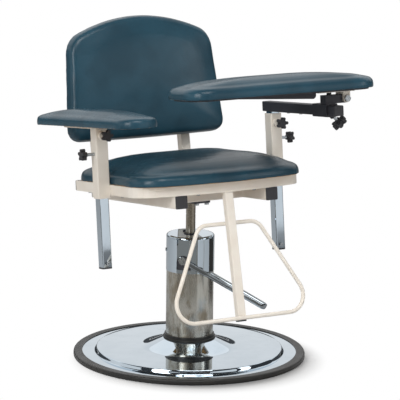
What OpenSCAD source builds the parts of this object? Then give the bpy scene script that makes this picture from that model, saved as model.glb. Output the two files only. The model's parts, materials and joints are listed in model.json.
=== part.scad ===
// Phlebotomy chair on a round pump base, with a plain armrest on one side and a
// sliding, flip-up armrest on the other. The chair faces -Y, and +X is the side of
// the flip-up armrest. The origin lies on the floor, on the axis of the pump.
// The seat, back and armrests are built in the seat frame: level with the seat tubes,
// tilted back as one, with its zero height on top of the two seat rails.

/* [Base] */
// Outside radius of the base, over its rubber edge
base_r = 292; // [270:1:330]
// Thickness of the steel plate in the base
plate_t = 9; // [6:0.5:14]
// Thickness of the pressed cover over the plate
cover_t = 1.5; // [1:0.25:3]
// Thickness of the rubber lips that grip the plate and its cover
lip_t = 1.5; // [1:0.25:3]
// Width of the rubber edge, seen from above
edge_w = 22; // [16:1:30]
// Width of the cover's rim, from the base's edge in to the cover's step
rim_w = 56; // [47:1:80]
// Height of that step
step_h = 10; // [6:0.5:16]
// Width over which the step rises
step_run = 9; // [5:0.5:14]
// Rise of the cover between its step and its cone
dome_rise = 7; // [3:0.5:14]
// Radius of the foot of the cone round the pump
cone_r = 109; // [95:1:140]
// Height of the cone round the pump
cone_h = 17; // [8:0.5:24]

/* [Pump] */
// Outside radius of the lower cylinder
cylinder_r = 59.5; // [50:0.5:64]
// Wall of the lower cylinder
cylinder_wall = 5; // [3:0.5:8]
// Height of the top of the lower cylinder over the floor
cylinder_top = 222; // [190:1:230]
// Outside radius of the bright upper shell
shell_r = 60.5; // [60:0.5:66]
// Wall of the upper shell
shell_wall = 2; // [1.5:0.25:3]
// Height of the upper shell
shell_h = 92; // [84:1:110]
// Rounding of the shell's upper edge
shell_round = 6; // [3:0.5:10]
// Width of the arched slot for the lever's axle
slot_w = 37; // [30:1:44]
// Height of the arched slot
slot_h = 37; // [30:1:44]
// Height of the slot's sill over the shell's lower edge
slot_rise = 9.4; // [5:0.2:14]
// Outside radius of the rubber collar round the pump's foot
collar_r = 66; // [63:0.5:74]
// Height of the rubber collar
collar_h = 12; // [8:0.5:20]
// Radius of the rising ram
ram_r = 12; // [10:0.5:16]
// Running clearance round the ram and the axle
run_clear = 0.05; // [0.03:0.01:0.09]
// Height at which the ram enters the seat plate
ram_entry = 396; // [380:1:420]
// Length of the ram inside the seat plate's hub
ram_spigot = 26; // [18:1:30]

/* [Pump lever] */
// Height of the lever's axle over the floor
axle_z = 256; // [252:1:260]
// Radius of the lever's axle
axle_r = 8; // [6:0.5:10]
// Angle of the lever below the level, at rest
lever_slope = 26; // [20:0.5:32]
// Stroke of the lever, from rest down
lever_stroke = 17; // [10:1:20]
// Length from the axle to the pedal's tip
lever_l = 237; // [200:1:240]
// Width of the pedal
pedal_w = 22; // [20:1:40]
// Depth of the pedal's turned-down sides
pedal_depth = 13; // [8:0.5:16]
// Thickness of the pedal's steel
pedal_t = 2.5; // [2:0.25:3]

/* [Seat frame] */
// Height of the seat rails' tops over the floor, above the pump
seat_z = 432; // [425:1:440]
// Angle by which the seat frame tilts back
seat_lean = 7; // [3:0.5:9]
// Width of the square seat rails
rail_w = 31.75; // [28:0.25:34]
// Distance from the middle of the chair to the middle of a rail
rail_x = 126; // [110:1:140]
// Distance that the rails reach in front of the pump
rail_front = 181; // [165:1:185]
// Distance that the rails reach behind the pump
rail_rear = 272; // [265:1:290]
// Wall of the frame's square tubes
tube_wall = 2; // [1.5:0.25:2.5]
// Height of the bent ring tube under the seat
ring_h = 25.4; // [22:0.2:30]
// Width of the bent ring tube, seen from above
ring_w = 19; // [16:0.5:22]
// Distance that the ring reaches in front of the pump
ring_front = 194; // [190:1:200]
// Distance that the ring's legs reach behind the pump
ring_rear = 179; // [150:1:200]
// Radius of the ring's bowed front
ring_bow_r = 700; // [600:10:900]
// Outside radius of the ring's front bends
ring_bend_r = 60; // [50:1:80]
// Width of the back uprights
upright_w = 25.4; // [22:0.2:28]
// Height of the uprights over the rails
upright_h = 330; // [260:1:340]

/* [Seat and back pads] */
// Width of the seat pad
seat_w = 471; // [440:1:480]
// Distance that the seat pad reaches in front of the pump
seat_front = 218; // [200:1:225]
// Distance that the seat pad reaches behind the pump
seat_rear = 214; // [200:1:218]
// Thickness of the seat pad at its middle
seat_t = 63; // [50:1:68]
// Width of the back pad at its foot
back_w = 451; // [420:1:460]
// Height of the back pad along its face
back_h = 316; // [280:1:330]
// Height of the back pad's foot over the rails
back_z = 114; // [110:1:130]
// Thickness of the back pad at its middle
back_t = 46; // [38:1:50]
// Distance from the pump to the back pad's rear face, at the rails' height
back_y = 222.5; // [220:0.5:234]
// Angle by which the back leans beyond the seat frame
back_lean = 5.5; // [4:0.5:7]
// Width of the back pad at its top, as a share of its width at the foot
back_taper_share = 0.89; // [0.75:0.01:1]

/* [Armrest posts] */
// Distance from the middle of the chair to the middle of a post
post_x = 247; // [245:1:252]
// Distance of the posts behind the pump
post_y = 4; // [0:1:10]
// Width of the square sleeves
sleeve_w = 31.75; // [31:0.25:34]
// Height of the sleeves' lower ends under the rails' tops
sleeve_drop = 7; // [2:1:12]
// Height of the sleeves' upper ends over the rails' tops
sleeve_top = 167; // [150:1:167]
// Width of the square tubes that slide in the sleeves
post_w = 25.4; // [24:0.2:26]
// Depth of the post's lower end under the rails' tops
post_drop = 181; // [172:1:190]
// Clearance round a sliding square tube
slide_clear = 0.15; // [0.1:0.05:0.25]

/* [Plain armrest] */
// Length of the plain armrest's pad
armrest_l = 526; // [500:1:560]
// Width of the plain armrest's pad
armrest_w = 110; // [100:1:120]
// Thickness of the plain armrest's pad at its middle
armrest_t = 41; // [34:1:44]
// Distance of the pad's middle behind its post
armrest_back = -39; // [-60:1:-30]
// Distance of the pad's middle outside its post
armrest_out = 27; // [22:1:32]
// Angle by which the pad rises to the front of its post
armrest_rake = 0.9; // [0:0.1:2]

/* [Flip armrest] */
// Length of the flip armrest's pad, across the chair
flip_l = 524; // [500:1:560]
// Width of the flip armrest's pad, along the chair
flip_w = 182; // [150:1:190]
// Thickness of the flip armrest's pad at its middle
flip_t = 43; // [34:1:46]
// Distance of that pad's middle from the middle of the chair
flip_x = 90; // [80:1:100]
// Width of the square bar that the armrest slides along
bar_w = 25.4; // [24:0.2:26]
// Distance that the bar reaches in front of its post
bar_front = 319; // [310:1:330]
// Distance that the bar reaches behind its post
bar_back = 27; // [20:1:60]
// Length of the sliding collar on the bar
slider_l = 67; // [55:1:75]
// Distance from the post to the front of the sliding collar
slider_front = 289; // [286:1:292]
// Distance from the middle of the chair to the armrest's hinge
hinge_x = 290; // [288:1:296]
// Radius of the hinge's bolt
hinge_r = 5; // [4:0.5:6]

/* [Footrest] */
// Width of the footrest's strut
strut_w = 22; // [18:0.5:26]
// Depth of the footrest's strut
strut_d = 17; // [14:0.5:19]
// Length of the strut along its face
strut_l = 312; // [290:1:320]
// Angle by which the strut leans forwards from the seat frame
strut_lean = 7.36; // [5:0.1:9]
// Radius of the footrest's round rod
rod_r = 5; // [4:0.25:6]
// Half width of the loop at its top, between the side lines
loop_top = 82; // [70:1:95]
// Half width of the loop at its foot, between the side lines
loop_foot = 206; // [190:1:220]
// Height of the loop
loop_h = 234; // [210:1:236]
// Depth of the loop's top bar under the rails' tops
loop_drop = 77; // [70:1:90]
// Radius of the loop's upper bends
loop_bend_top = 35; // [25:1:45]
// Radius of the loop's lower bends
loop_bend_foot = 45; // [35:1:55]

/* [Knobs] */
// Outside radius of a star knob on the sleeves
knob_r = 15; // [14:0.5:18]
// Outside radius of the lobed knob on the sliding collar
slider_knob_r = 20; // [16:0.5:22]
// Thickness of a knob
knob_t = 12; // [10:0.5:14]
// Number of lobes on a star knob
knob_lobes = 5; // [4:1:6]
// Number of lobes on the collar's knob
slider_knob_lobes = 6; // [5:1:7]
// Radius of a star knob's threaded stud
stud_r = 4; // [3:0.5:5]
// Height of the front knob on the plain armrest's sleeve
armrest_knob_z = 149; // [130:1:149]
// Height of the front knob on the flip armrest's sleeve
flip_knob_z = 143; // [130:1:149]
// Height of the side knobs on both sleeves
side_knob_z = 103; // [90:1:110]

/* [Hidden] */

$fn = 48;
// Overrun of every cutter past the face that it cuts
cut = 1;
// Segments in the arc of a small rounded corner
corner_steps = 4;
// Segments in a wide arc of an outline
arc_steps = 12;
// Segments of the wide turned pieces, and sides of a nut or bolt head
wide_facets = 96;
hex_sides = 6;
// Gap left at a weld, so that two tubes meet without overlapping
weld_gap = 0.05;

// Colours
chrome = "#c9ccd0";
satin_steel = "#9ba0a5";
cream = "#d9d0c4";
vinyl = "#3f5d6b";
black = "#26272b";
zinc = "#b9bcc0";
plywood = "#b08a5a";

// Base
edge_h = plate_t + cover_t + 2 * lip_t;
edge_wall = 11;
edge_round = 5;
plate_r = base_r - edge_wall;
step_r = base_r - rim_w;
cover_z = lip_t + plate_t;
rim_z = cover_z + cover_t;
step_z = rim_z + step_h;
cone_z = step_z + dome_rise;
neck_z = cone_z + cone_h;
neck_gap = 0.5;
flare_steps = 8;

// Pump
foot_r = 80;
foot_t = 8;
pump_floor_t = 16;
pump_bolt_count = 6;
pump_bolt_ring = 70;
pump_bolt_r = 4;
pump_bolt_head_r = 6.5;
pump_bolt_head_h = 6;
pump_bolt_bite = 8;
barrel_r = 20;
shell_z = cylinder_top;
shell_top = shell_z + shell_h;
head_gap = 0.5;
head_r = shell_r - shell_wall - head_gap;
head_drop = 8;
head_top = shell_top - shell_wall - head_drop;
gland_r = 17;
gland_lip = 2;
ram_stroke_down = 60;
ram_floor_gap = 8;
ram_z = cylinder_foot_z() + pump_floor_t + ram_stroke_down + ram_floor_gap;
ram_top = ram_entry + ram_spigot;
groove_drop = 31;
groove_w = 3;
groove_depth = 1;
oil_plug_at = 27;
oil_plug_angle = 93;
oil_plug_r = 4;
oil_plug_head_r = 5;
oil_plug_h = 3;
shell_screw_rise = 52;
shell_screw_angle = 161;
shell_screw_turn = 200;
shell_screw_r = 3;
shell_screw_head_r = 4.5;
shell_screw_head_h = 2.2;
shell_screw_bite = 8;
function cylinder_foot_z() = cover_z;

// Lever. The axle lies across the diagonal that runs front left to rear right
lever_heading = -45;
axle_inner = 20;
axle_seat_gap = 0.3;
lever_gap = 2;
arm_y = shell_r + lever_gap;
hub_r = 10;
hub_t = 3;
lever_tail = 14;
pedal_round = 9;
pedal_gap = 4;
pedal_cut_r = (shell_r + pedal_gap) / cos(lever_slope + lever_stroke);

// Seat frame
tube_round = 2.5;
rail_round = 3;
cap_t = 3;
cap_plug = 12;
hub_wall = 6;
hub_top_t = 5;
spigot_gap = 0.4;
hub_h = ram_spigot + spigot_gap + hub_top_t;
plate_l = 122;
plate_w = 46;
seat_plate_t = 5;
cross_y = 52;
cross_w = 25.4;
plate_bolt_r = 4;
plate_bolt_x = 14;
plate_bolt_head_r = 6.5;
plate_bolt_head_h = 5;
plate_corner_share = 0.2;
ring_wall = 1.6;

// Pads
board_t = 12;
board_inset = 5;
pad_lift = 0.6;
seat_bow_r = 700;
seat_corner_r = 84;
seat_rear_r = 88;
seat_edge_h = 30;
seat_round = 22;
seat_pull = 6;
seat_rear_pull = 3;
back_top_r = 494;
back_shoulder_r = 57;
back_foot_r = 35;
back_edge_h = 34.5;
back_round = 12;
back_pull = 0;
back_foot_pull = -2.3;
back_board_t = 19.5;
back_board_inset = 20;
pad_steps = 5;
side_steps = 5;
// Heights of a pad's side rings as shares of its edge height, with their insets as
// shares of the rounding of its edge
side_shares = [[0, 0.16], [0.1, 0.05], [0.34, 0], [0.6, 0.04], [0.8, 0.2], [0.94, 0.52], [1, 1]];
// Reach of the crown's rings as shares of the pad's half width, from the edge inwards
crown_shares = [0.93, 0.82, 0.66, 0.46, 0.22];
crown_power = 2.5;
seat_crown_power = 3.2;

// Screws under the seat ring
seat_screw_x = 78;
seat_screw_y = 60;
seat_screw_r = 2.5;
seat_screw_head_r = 4.5;
seat_screw_head_h = 3;
seat_screw_bite = 8;
back_screw_bite = 10;

// Armrest posts
sleeve_wall = (sleeve_w - post_w) / 2 - slide_clear;
post_wall = 2;
post_cap_gap = 4.5;
post_top = sleeve_top + post_cap_gap;
boss_r = 11;
boss_l = 10;
plug_t = 4;
stop_screw_rise = 13.5;
stop_screw_r = 3;
stop_screw_head_r = 4.5;
stop_screw_head_h = 4;

// Plain armrest
channel_w = 60;
channel_t = 3;
channel_lip = 5;
channel_front = 14;
channel_back = 133;
arm_board_t = 9;
arm_board_inset = 9;
arm_corner_r = 53;
arm_edge_h = 26.5;
arm_round = 17;
arm_pull = 2.5;
arm_screw_x = 20;
arm_screw_r = 2.5;
arm_screw_head_r = 4.5;
arm_screw_head_h = 2.5;

// Flip armrest
bar_z = post_top;
slider_wall = 3.2;
slider_w = bar_w + 2 * (slide_clear + slider_wall);
block_l = 25;
block_h = 21;
block_w = 58;
block_gap = 4;
block_z = bar_z + bar_w + slide_clear + slider_wall;
hinge_z = block_z + block_h / 2;
bracket_t = 5;
bracket_rise = 7.2;
lug_t = 5;
lug_r = 10;
lug_gap = 0.3;
bracket_z = block_z + block_h + bracket_rise;
bracket_in = 84;
bracket_out = 18;
bracket_w = 52;
bolt_head_r = 8.5;
bolt_head_t = 6;
bolt_nut_t = 6;
flip_board_t = 12;
flip_board_drop = 4;
flip_board_inset = 14;
flip_corner_r = 61;
flip_edge_h = 29;
flip_round = 20;
brace_l = 226;
brace_w = 26;
brace_h = 18;
brace_tip_h = 4;
bumper_r = 6;
bumper_h = 5.5;
bumper_gap = 0.1;
bumper_in = 40;
bar_screw_r = 2.5;
bar_screw_head_r = 4;
bar_screw_head_h = 2.5;
bar_screw_at = [79, 139];

// Footrest
strut_wall = 2;
strut_round = 2;
strut_cap_t = 6;

// Knobs
knob_core_share = 0.6;
slider_core_share = 0.68;
lobe_share = 0.27;
knob_neck_r = 7;
knob_neck_h = 4;
front_stud_l = 9;
side_stud_l = 21;
clamp_stud_l = 18;
clamp_back = 23;

// Points of an arc, counter-clockwise from one angle to the other
function arc(cx, cy, r, from, to, steps) =
    [for (i = [0 : steps]) let (a = from + (to - from) * i / steps) [cx + r * cos(a), cy + r * sin(a)]];

// Rounded rectangle, centred
function rounded(w, d, r) = let (x = w / 2 - r, y = d / 2 - r) concat(
    arc(x, -y, r, -90, 0, corner_steps), arc(x, y, r, 0, 90, corner_steps),
    arc(-x, y, r, 90, 180, corner_steps), arc(-x, -y, r, 180, 270, corner_steps));

// Height of the bend centres of a bowed outline behind its front
function bend_y(half, front, bow, bend) =
    bow - front - sqrt(pow(bow - bend, 2) - pow(half - bend, 2));

// Angle below the level at which the bend meets the bowed front
function bend_angle(half, bow, bend) = acos((half - bend) / (bow - bend));

// Bowed front and two front bends of an outline, set in by d, from left to right
function bowed_front(half, front, bow, bend, d) = let (
    y = bend_y(half, front, bow, bend),
    a = bend_angle(half, bow, bend),
    x = half - bend) concat(
    arc(-x, y, bend - d, 180, 180 + a, pad_steps),
    [for (p = arc(0, bow - front, bow - d, 180 + a, 360 - a, arc_steps)) p],
    arc(x, y, bend - d, -a, 0, pad_steps));

// Points along a straight side that is drawn in by pull at its middle
function drawn(a, b, pull) = let (
    l = norm(b - a), n = [a[1] - b[1], b[0] - a[0]] / l)
    [for (i = [1 : side_steps - 1]) let (t = i / side_steps) a + (b - a) * t + n * pull * sin(180 * t)];

// Closed pad outline with a bowed front, drawn-in sides and rear, and rounded rear corners
function bowed_pad(half, front, rear, bow, bend, corner, pull, rear_pull, d) = let (
    y = bend_y(half, front, bow, bend), q = half - corner, r = rear - corner) concat(
    bowed_front(half, front, bow, bend, d),
    drawn([half - d, y], [half - d, r], pull),
    arc(q, r, corner - d, 0, 90, pad_steps),
    drawn([q, rear - d], [-q, rear - d], rear_pull),
    arc(-q, r, corner - d, 90, 180, pad_steps),
    drawn([-half + d, r], [-half + d, y], pull));

// Closed pad outline of a long armrest, centred, with its long axis along X
function long_pad(l, w, r, pull, d) = let (x = l / 2 - r, y = w / 2 - r) concat(
    arc(x, -y, r - d, -90, 0, pad_steps), arc(x, y, r - d, 0, 90, pad_steps),
    drawn([x, w / 2 - d], [-x, w / 2 - d], pull),
    arc(-x, y, r - d, 90, 180, pad_steps), arc(-x, -y, r - d, 180, 270, pad_steps),
    drawn([-x, d - w / 2], [x, d - w / 2], pull));

// Solid between closed rings of points, each ring with as many points, with an end point
module ringed(rings, tip) {
    n = len(rings[0]);
    m = len(rings);
    polyhedron(
        points = concat([for (ring = rings) each ring], [tip]),
        faces = concat(
            [[for (j = [0 : n - 1]) j]],
            [for (i = [0 : m - 2], j = [0 : n - 1]) let (k = (j + 1) % n)
                each [[(i + 1) * n + j, (i + 1) * n + k, i * n + k],
                    [(i + 1) * n + j, i * n + k, i * n + j]]],
            [for (j = [0 : n - 1]) [m * n, (m - 1) * n + (j + 1) % n, (m - 1) * n + j]]));
}

// Rings of a crowned pad: its drawn-in side, its rounded edge and its crown.
// outlines holds one outline for each row of side_shares, power shapes the crown
function pad_rings(outlines, edge_h, height, power) = let (
    last = outlines[len(outlines) - 1]) concat(
    [for (i = [0 : len(outlines) - 1]) [for (p = outlines[i]) [p[0], p[1], edge_h * side_shares[i][0]]]],
    [for (s = crown_shares) [for (p = last)
        [p[0] * s, p[1] * s, edge_h + (height - edge_h) * (1 - pow(s, power))]]]);

module seat_frame() translate([0, 0, seat_z]) rotate([-seat_lean, 0, 0]) children();
module back_frame() seat_frame() translate([0, back_y, 0]) rotate([-back_lean, 0, 0]) children();
module lever_frame() rotate([0, 0, lever_heading]) translate([0, 0, axle_z])
    rotate([0, lever_slope, 0]) children();
module along_y() rotate([-90, 0, 0]) children();
module along_x() rotate([0, 90, 0]) children();

module square_bar(w, d, l, r) linear_extrude(l) polygon(rounded(w, d, r));

module square_tube(w, d, wall, l, r) difference() {
    square_bar(w, d, l, r);
    translate([0, 0, -cut]) square_bar(w - 2 * wall, d - 2 * wall, l + 2 * cut, max(r - wall, wall / 4));
}

module disc(r, h) cylinder(r = r, h = h);

module ring_solid(r_out, r_in, h) difference() {
    disc(r_out, h);
    translate([0, 0, -cut]) disc(r_in, h + 2 * cut);
}

// Screw with a flat round head, pointing down from its head's underside
module screw(r, l, head_r, head_h) {
    translate([0, 0, -l]) disc(r, l);
    difference() {
        disc(head_r, head_h);
        translate([0, 0, head_h / 2]) cylinder(r = head_r / 2, h = head_h, $fn = hex_sides);
    }
}

// Steel plate, rebated under its rim for the rubber edge's lower lip
module base_plate() color(satin_steel) difference() {
    union() {
        disc(base_r - edge_w, cover_z);
        translate([0, 0, lip_t]) disc(plate_r, plate_t);
    }
    for (i = [0 : pump_bolt_count - 1]) rotate(360 * i / pump_bolt_count)
        translate([pump_bolt_ring, 0, cover_z - pump_bolt_bite]) disc(pump_bolt_r, plate_t);
}

// Height of the cover's top at the share u of its step
function step_point(u) = [step_r + step_run * (1 / 2 - u), rim_z + step_h * (1 - cos(180 * u)) / 2];

// Height of the hollow flare up to the neck, at the share u of its width
function flare_point(u) = [cone_r + (collar_r - cone_r) * u, cone_z + cone_h * u * u];

module base_cover() color(chrome) rotate_extrude($fn = wide_facets) polygon(concat(
    [[plate_r, rim_z]],
    [for (i = [0 : arc_steps]) step_point(i / arc_steps)],
    [for (i = [0 : flare_steps]) flare_point(i / flare_steps)],
    [[cylinder_r + neck_gap, neck_z], [cylinder_r + neck_gap, neck_z - cover_t]],
    [for (i = [flare_steps : -1 : 0]) flare_point(i / flare_steps) - [0, cover_t]],
    [for (i = [arc_steps : -1 : 0]) step_point(i / arc_steps) - [0, cover_t]],
    [[plate_r, rim_z - cover_t]]));

module rubber_edge() color(black) rotate_extrude($fn = wide_facets) polygon(concat(
    [[base_r - edge_w, 0]],
    arc(base_r - edge_round / 2, edge_round / 2, edge_round / 2, -90, 0, corner_steps),
    arc(base_r - edge_round, edge_h - edge_round, edge_round, 0, 90, corner_steps),
    [[base_r - edge_w, edge_h], [base_r - edge_w, rim_z], [plate_r, rim_z], [plate_r, lip_t],
        [base_r - edge_w, lip_t]]));

module pump_bolts() color(zinc) for (i = [0 : pump_bolt_count - 1])
    rotate(360 * i / pump_bolt_count) translate([pump_bolt_ring, 0, cover_z]) {
        translate([0, 0, -pump_bolt_bite]) disc(pump_bolt_r, pump_bolt_bite + foot_t);
        translate([0, 0, foot_t]) cylinder(r = pump_bolt_head_r, h = pump_bolt_head_h, $fn = hex_sides);
    }

module pump_cylinder() color(satin_steel) translate([0, 0, cover_z]) difference() {
    union() {
        disc(foot_r, foot_t);
        disc(cylinder_r, cylinder_top - cover_z);
    }
    translate([0, 0, pump_floor_t]) disc(cylinder_r - cylinder_wall, cylinder_top);
    for (i = [0 : pump_bolt_count - 1]) rotate(360 * i / pump_bolt_count)
        translate([pump_bolt_ring, 0, -cut]) disc(pump_bolt_r, foot_t + 2 * cut);
}

module ram_barrel() color(satin_steel) translate([0, 0, cover_z + pump_floor_t])
    ring_solid(barrel_r, ram_r + run_clear, cylinder_top - cover_z - pump_floor_t);

// Rubber collar in two tiers
module pump_foot_collar() color(black) translate([0, 0, neck_z]) rotate_extrude($fn = wide_facets)
    polygon(concat(
        [[cylinder_r, 0], [collar_r, 0]],
        arc(collar_r - collar_h / 8, collar_h * 3 / 8, collar_h / 8, 0, 90, corner_steps),
        [[(collar_r + cylinder_r) / 2, collar_h / 2], [(collar_r + cylinder_r) / 2, collar_h],
            [cylinder_r, collar_h]]));

module pump_head() color(black) difference() {
    translate([0, 0, cylinder_top]) disc(head_r, head_top - cylinder_top);
    translate([0, 0, cylinder_top - cut]) disc(ram_r + run_clear, head_top);
    rotate(lever_heading) translate([0, -axle_inner, axle_z]) rotate([90, 0, 0])
        disc(axle_r + run_clear, head_r);
    shell_screw_places(cut);
}

module shell_screw_places(extra) for (turn = [0, shell_screw_turn]) rotate(shell_screw_angle + turn)
    translate([shell_r, 0, shell_z + shell_screw_rise]) along_x()
        translate([0, 0, -shell_screw_bite]) disc(shell_screw_r, shell_screw_bite + extra);

module pump_shell() color(chrome) difference() {
    translate([0, 0, shell_z]) rotate_extrude($fn = wide_facets) polygon(concat(
        [[shell_r - shell_wall, 0], [shell_r, 0]],
        arc(shell_r - shell_round, shell_h - shell_round, shell_round, 0, 90, corner_steps + 2),
        [[gland_r, shell_h], [gland_r, shell_h - shell_wall]],
        arc(shell_r - shell_round, shell_h - shell_round, shell_round - shell_wall, 90, 0, corner_steps + 2)));
    rotate(lever_heading) translate([0, 0, shell_z + slot_rise]) {
        translate([-slot_w / 2, -shell_r - cut, 0]) cube([slot_w, shell_r / 2, slot_h - slot_w / 2]);
        translate([0, -shell_r / 2, slot_h - slot_w / 2]) rotate([90, 0, 0]) disc(slot_w / 2, shell_r);
    }
    shell_screw_places(cut);
    rotate(oil_plug_angle) translate([oil_plug_at, 0, shell_top - shell_wall - cut])
        disc(oil_plug_r, shell_wall + 2 * cut);
}

module pump_shell_screws() color(black) for (turn = [0, shell_screw_turn]) rotate(shell_screw_angle + turn)
    translate([shell_r, 0, shell_z + shell_screw_rise]) along_x()
        screw(shell_screw_r, shell_screw_bite, shell_screw_head_r, shell_screw_head_h);

module oil_plug() color(black) rotate(oil_plug_angle) translate([oil_plug_at, 0, head_top]) {
    disc(oil_plug_r, head_drop + shell_wall);
    translate([0, 0, head_drop + shell_wall]) cylinder(r = oil_plug_head_r, h = oil_plug_h, $fn = hex_sides);
}

module ram_gland() color(black) translate([0, 0, head_top])
    ring_solid(gland_r, ram_r + run_clear, head_drop + shell_wall + gland_lip);

module lever_axle() color(satin_steel) rotate(lever_heading) translate([0, 0, axle_z])
    rotate([90, 0, 0]) translate([0, 0, axle_inner + axle_seat_gap])
        disc(axle_r, arm_y - axle_inner - axle_seat_gap);

module lever_hub() color(satin_steel) lever_frame() translate([0, -arm_y - pedal_t, 0])
    rotate([90, 0, 0]) disc(hub_r, hub_t);

// Outline of the pressed pedal from above: its inner end is cut round the pump
module pedal_plate() difference() {
    union() {
        translate([0, -arm_y - pedal_t, 0]) cube([lever_l - pedal_round, pedal_w, pedal_t]);
        translate([0, -arm_y - pedal_t + pedal_round, 0])
            cube([lever_l, pedal_w - 2 * pedal_round, pedal_t]);
        for (y = [pedal_round, pedal_w - pedal_round])
            translate([lever_l - pedal_round, y - arm_y - pedal_t, 0]) disc(pedal_round, pedal_t);
    }
    translate([0, 0, -cut]) disc(pedal_cut_r, pedal_t + 2 * cut);
}

module lever_pedal() color(chrome) lever_frame() {
    translate([0, 0, pedal_depth / 2]) pedal_plate();
    translate([-lever_tail, -arm_y - pedal_t, -pedal_depth / 2])
        cube([lever_l - pedal_round + lever_tail, pedal_t, pedal_depth]);
    translate([pedal_cut_r, pedal_w - arm_y - 2 * pedal_t, -pedal_depth / 2])
        cube([lever_l - pedal_round - pedal_cut_r, pedal_t, pedal_depth]);
}

module ram() color(chrome) rotate_extrude() polygon([
    [0, ram_z], [ram_r, ram_z], [ram_r, ram_entry - groove_drop - groove_w],
    [ram_r - groove_depth, ram_entry - groove_drop - groove_w],
    [ram_r - groove_depth, ram_entry - groove_drop], [ram_r, ram_entry - groove_drop],
    [ram_r, ram_top], [0, ram_top]]);

// Pressed plate under the crossmembers, with an upright hub that turns on the ram
module seat_plate() color(black) difference() {
    union() {
        seat_frame() translate([0, 0, -rail_w - seat_plate_t]) linear_extrude(seat_plate_t)
            polygon(rounded(plate_w, plate_l, plate_w * plate_corner_share));
        intersection() {
            translate([0, 0, ram_entry - seat_plate_t]) disc(ram_r + hub_wall, hub_h + seat_plate_t);
            seat_frame() translate([0, 0, -rail_w - seat_plate_t / 2]) disc(plate_l, plate_l);
        }
    }
    translate([0, 0, ram_entry - plate_l]) disc(ram_r + run_clear, plate_l + ram_spigot + spigot_gap);
    for (s = [-1, 1], x = [-1, 1]) seat_frame()
        translate([x * plate_bolt_x, s * cross_y, -rail_w - seat_plate_t - cut])
            disc(plate_bolt_r, seat_plate_t + 2 * cut);
}

module seat_plate_bolts() color(zinc) for (s = [-1, 1], x = [-1, 1]) seat_frame()
    translate([x * plate_bolt_x, s * cross_y, -rail_w - seat_plate_t]) {
        disc(plate_bolt_r, seat_plate_t + tube_wall);
        translate([0, 0, -plate_bolt_head_h]) cylinder(r = plate_bolt_head_r, h = plate_bolt_head_h, $fn = hex_sides);
    }

module crossmember(y) color(cream) seat_frame() difference() {
    translate([rail_w / 2 - rail_x, y, -rail_w / 2]) along_x()
        square_tube(rail_w, cross_w, tube_wall, 2 * rail_x - rail_w, rail_round);
    for (x = [-1, 1]) translate([x * plate_bolt_x, y, -rail_w - cut])
        disc(plate_bolt_r, tube_wall + cut);
}
module front_crossmember() crossmember(-cross_y);
module rear_crossmember() crossmember(cross_y);

module seat_rail(side) color(cream) seat_frame() translate([side * rail_x, -rail_front, -rail_w / 2])
    along_y() square_tube(rail_w, rail_w, tube_wall, rail_front + rail_rear, rail_round);
module seat_rail_left() seat_rail(-1);
module seat_rail_right() seat_rail(1);

// Plastic cap on a square tube's end: its plate outside, its plug inside the tube
module tube_cap(w, d, wall, r, thickness) {
    square_bar(w, d, thickness, r);
    translate([0, 0, -cap_plug]) square_bar(w - 2 * wall, d - 2 * wall, cap_plug, max(r - wall, wall / 4));
}

module tube_caps() color(black) {
    for (s = [-1, 1]) seat_frame() {
        translate([s * rail_x, -rail_front, -rail_w / 2]) rotate([90, 0, 0])
            tube_cap(rail_w, rail_w, tube_wall, rail_round, cap_t);
        translate([s * rail_x, rail_rear, -rail_w / 2]) along_y()
            tube_cap(rail_w, rail_w, tube_wall, rail_round, cap_t);
        translate([s * (post_x - sleeve_w / 2 - ring_w / 2), ring_rear, ring_h / 2]) along_y()
            tube_cap(ring_w, ring_h, ring_wall, tube_round, cap_t);
    }
    for (s = [-1, 1]) back_frame() translate([s * rail_x, back_board_t + upright_w / 2, upright_h])
        tube_cap(upright_w, upright_w, tube_wall, tube_round, cap_t);
    strut_frame() translate([0, 0, strut_l])
        tube_cap(strut_w, strut_d, strut_wall, strut_round, strut_cap_t);
}

// Outline of the ring tube set in by d, open to the rear up to reach
function ring_outline(d, reach) = let (half = post_x - sleeve_w / 2) concat(
    bowed_front(half, ring_front, ring_bow_r, ring_bend_r, d),
    [[half - d, reach], [d - half, reach]]);

module ring_band(outer, inner, h, reach) linear_extrude(h) difference() {
    polygon(ring_outline(outer, reach));
    polygon(ring_outline(inner, reach + cut));
}

module ring_tube() color(cream) seat_frame() difference() {
    ring_band(0, ring_w, ring_h, ring_rear);
    translate([0, 0, ring_wall])
        ring_band(ring_wall, ring_w - ring_wall, ring_h - 2 * ring_wall, ring_rear + cut);
    seat_screw_holes();
}

module seat_screw_holes() seat_screw_places() translate([0, 0, -cut])
    disc(seat_screw_r, ring_h + seat_screw_bite + cut);

// Square sleeve for an armrest post, with a threaded boss in front and a side hole
module sleeve(side, knob_z) color(cream) seat_frame() translate([side * post_x, post_y, 0])
    difference() {
        union() {
            translate([0, 0, -sleeve_drop])
                square_bar(sleeve_w, sleeve_w, sleeve_top + sleeve_drop, tube_round);
            translate([0, -sleeve_w / 2, knob_z]) rotate([90, 0, 0]) disc(boss_r, boss_l);
        }
        translate([0, 0, -sleeve_drop - cut]) square_bar(post_w + 2 * slide_clear,
            post_w + 2 * slide_clear, sleeve_top + sleeve_drop + 2 * cut, tube_round / 2);
        translate([0, 0, knob_z]) rotate([90, 0, 0]) disc(stud_r + run_clear, sleeve_w);
        translate([0, 0, side_knob_z]) rotate([0, side * 90, 0]) disc(stud_r + run_clear, sleeve_w);
    }
module armrest_sleeve() sleeve(-1, armrest_knob_z);
module flip_sleeve() sleeve(1, flip_knob_z);

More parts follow.
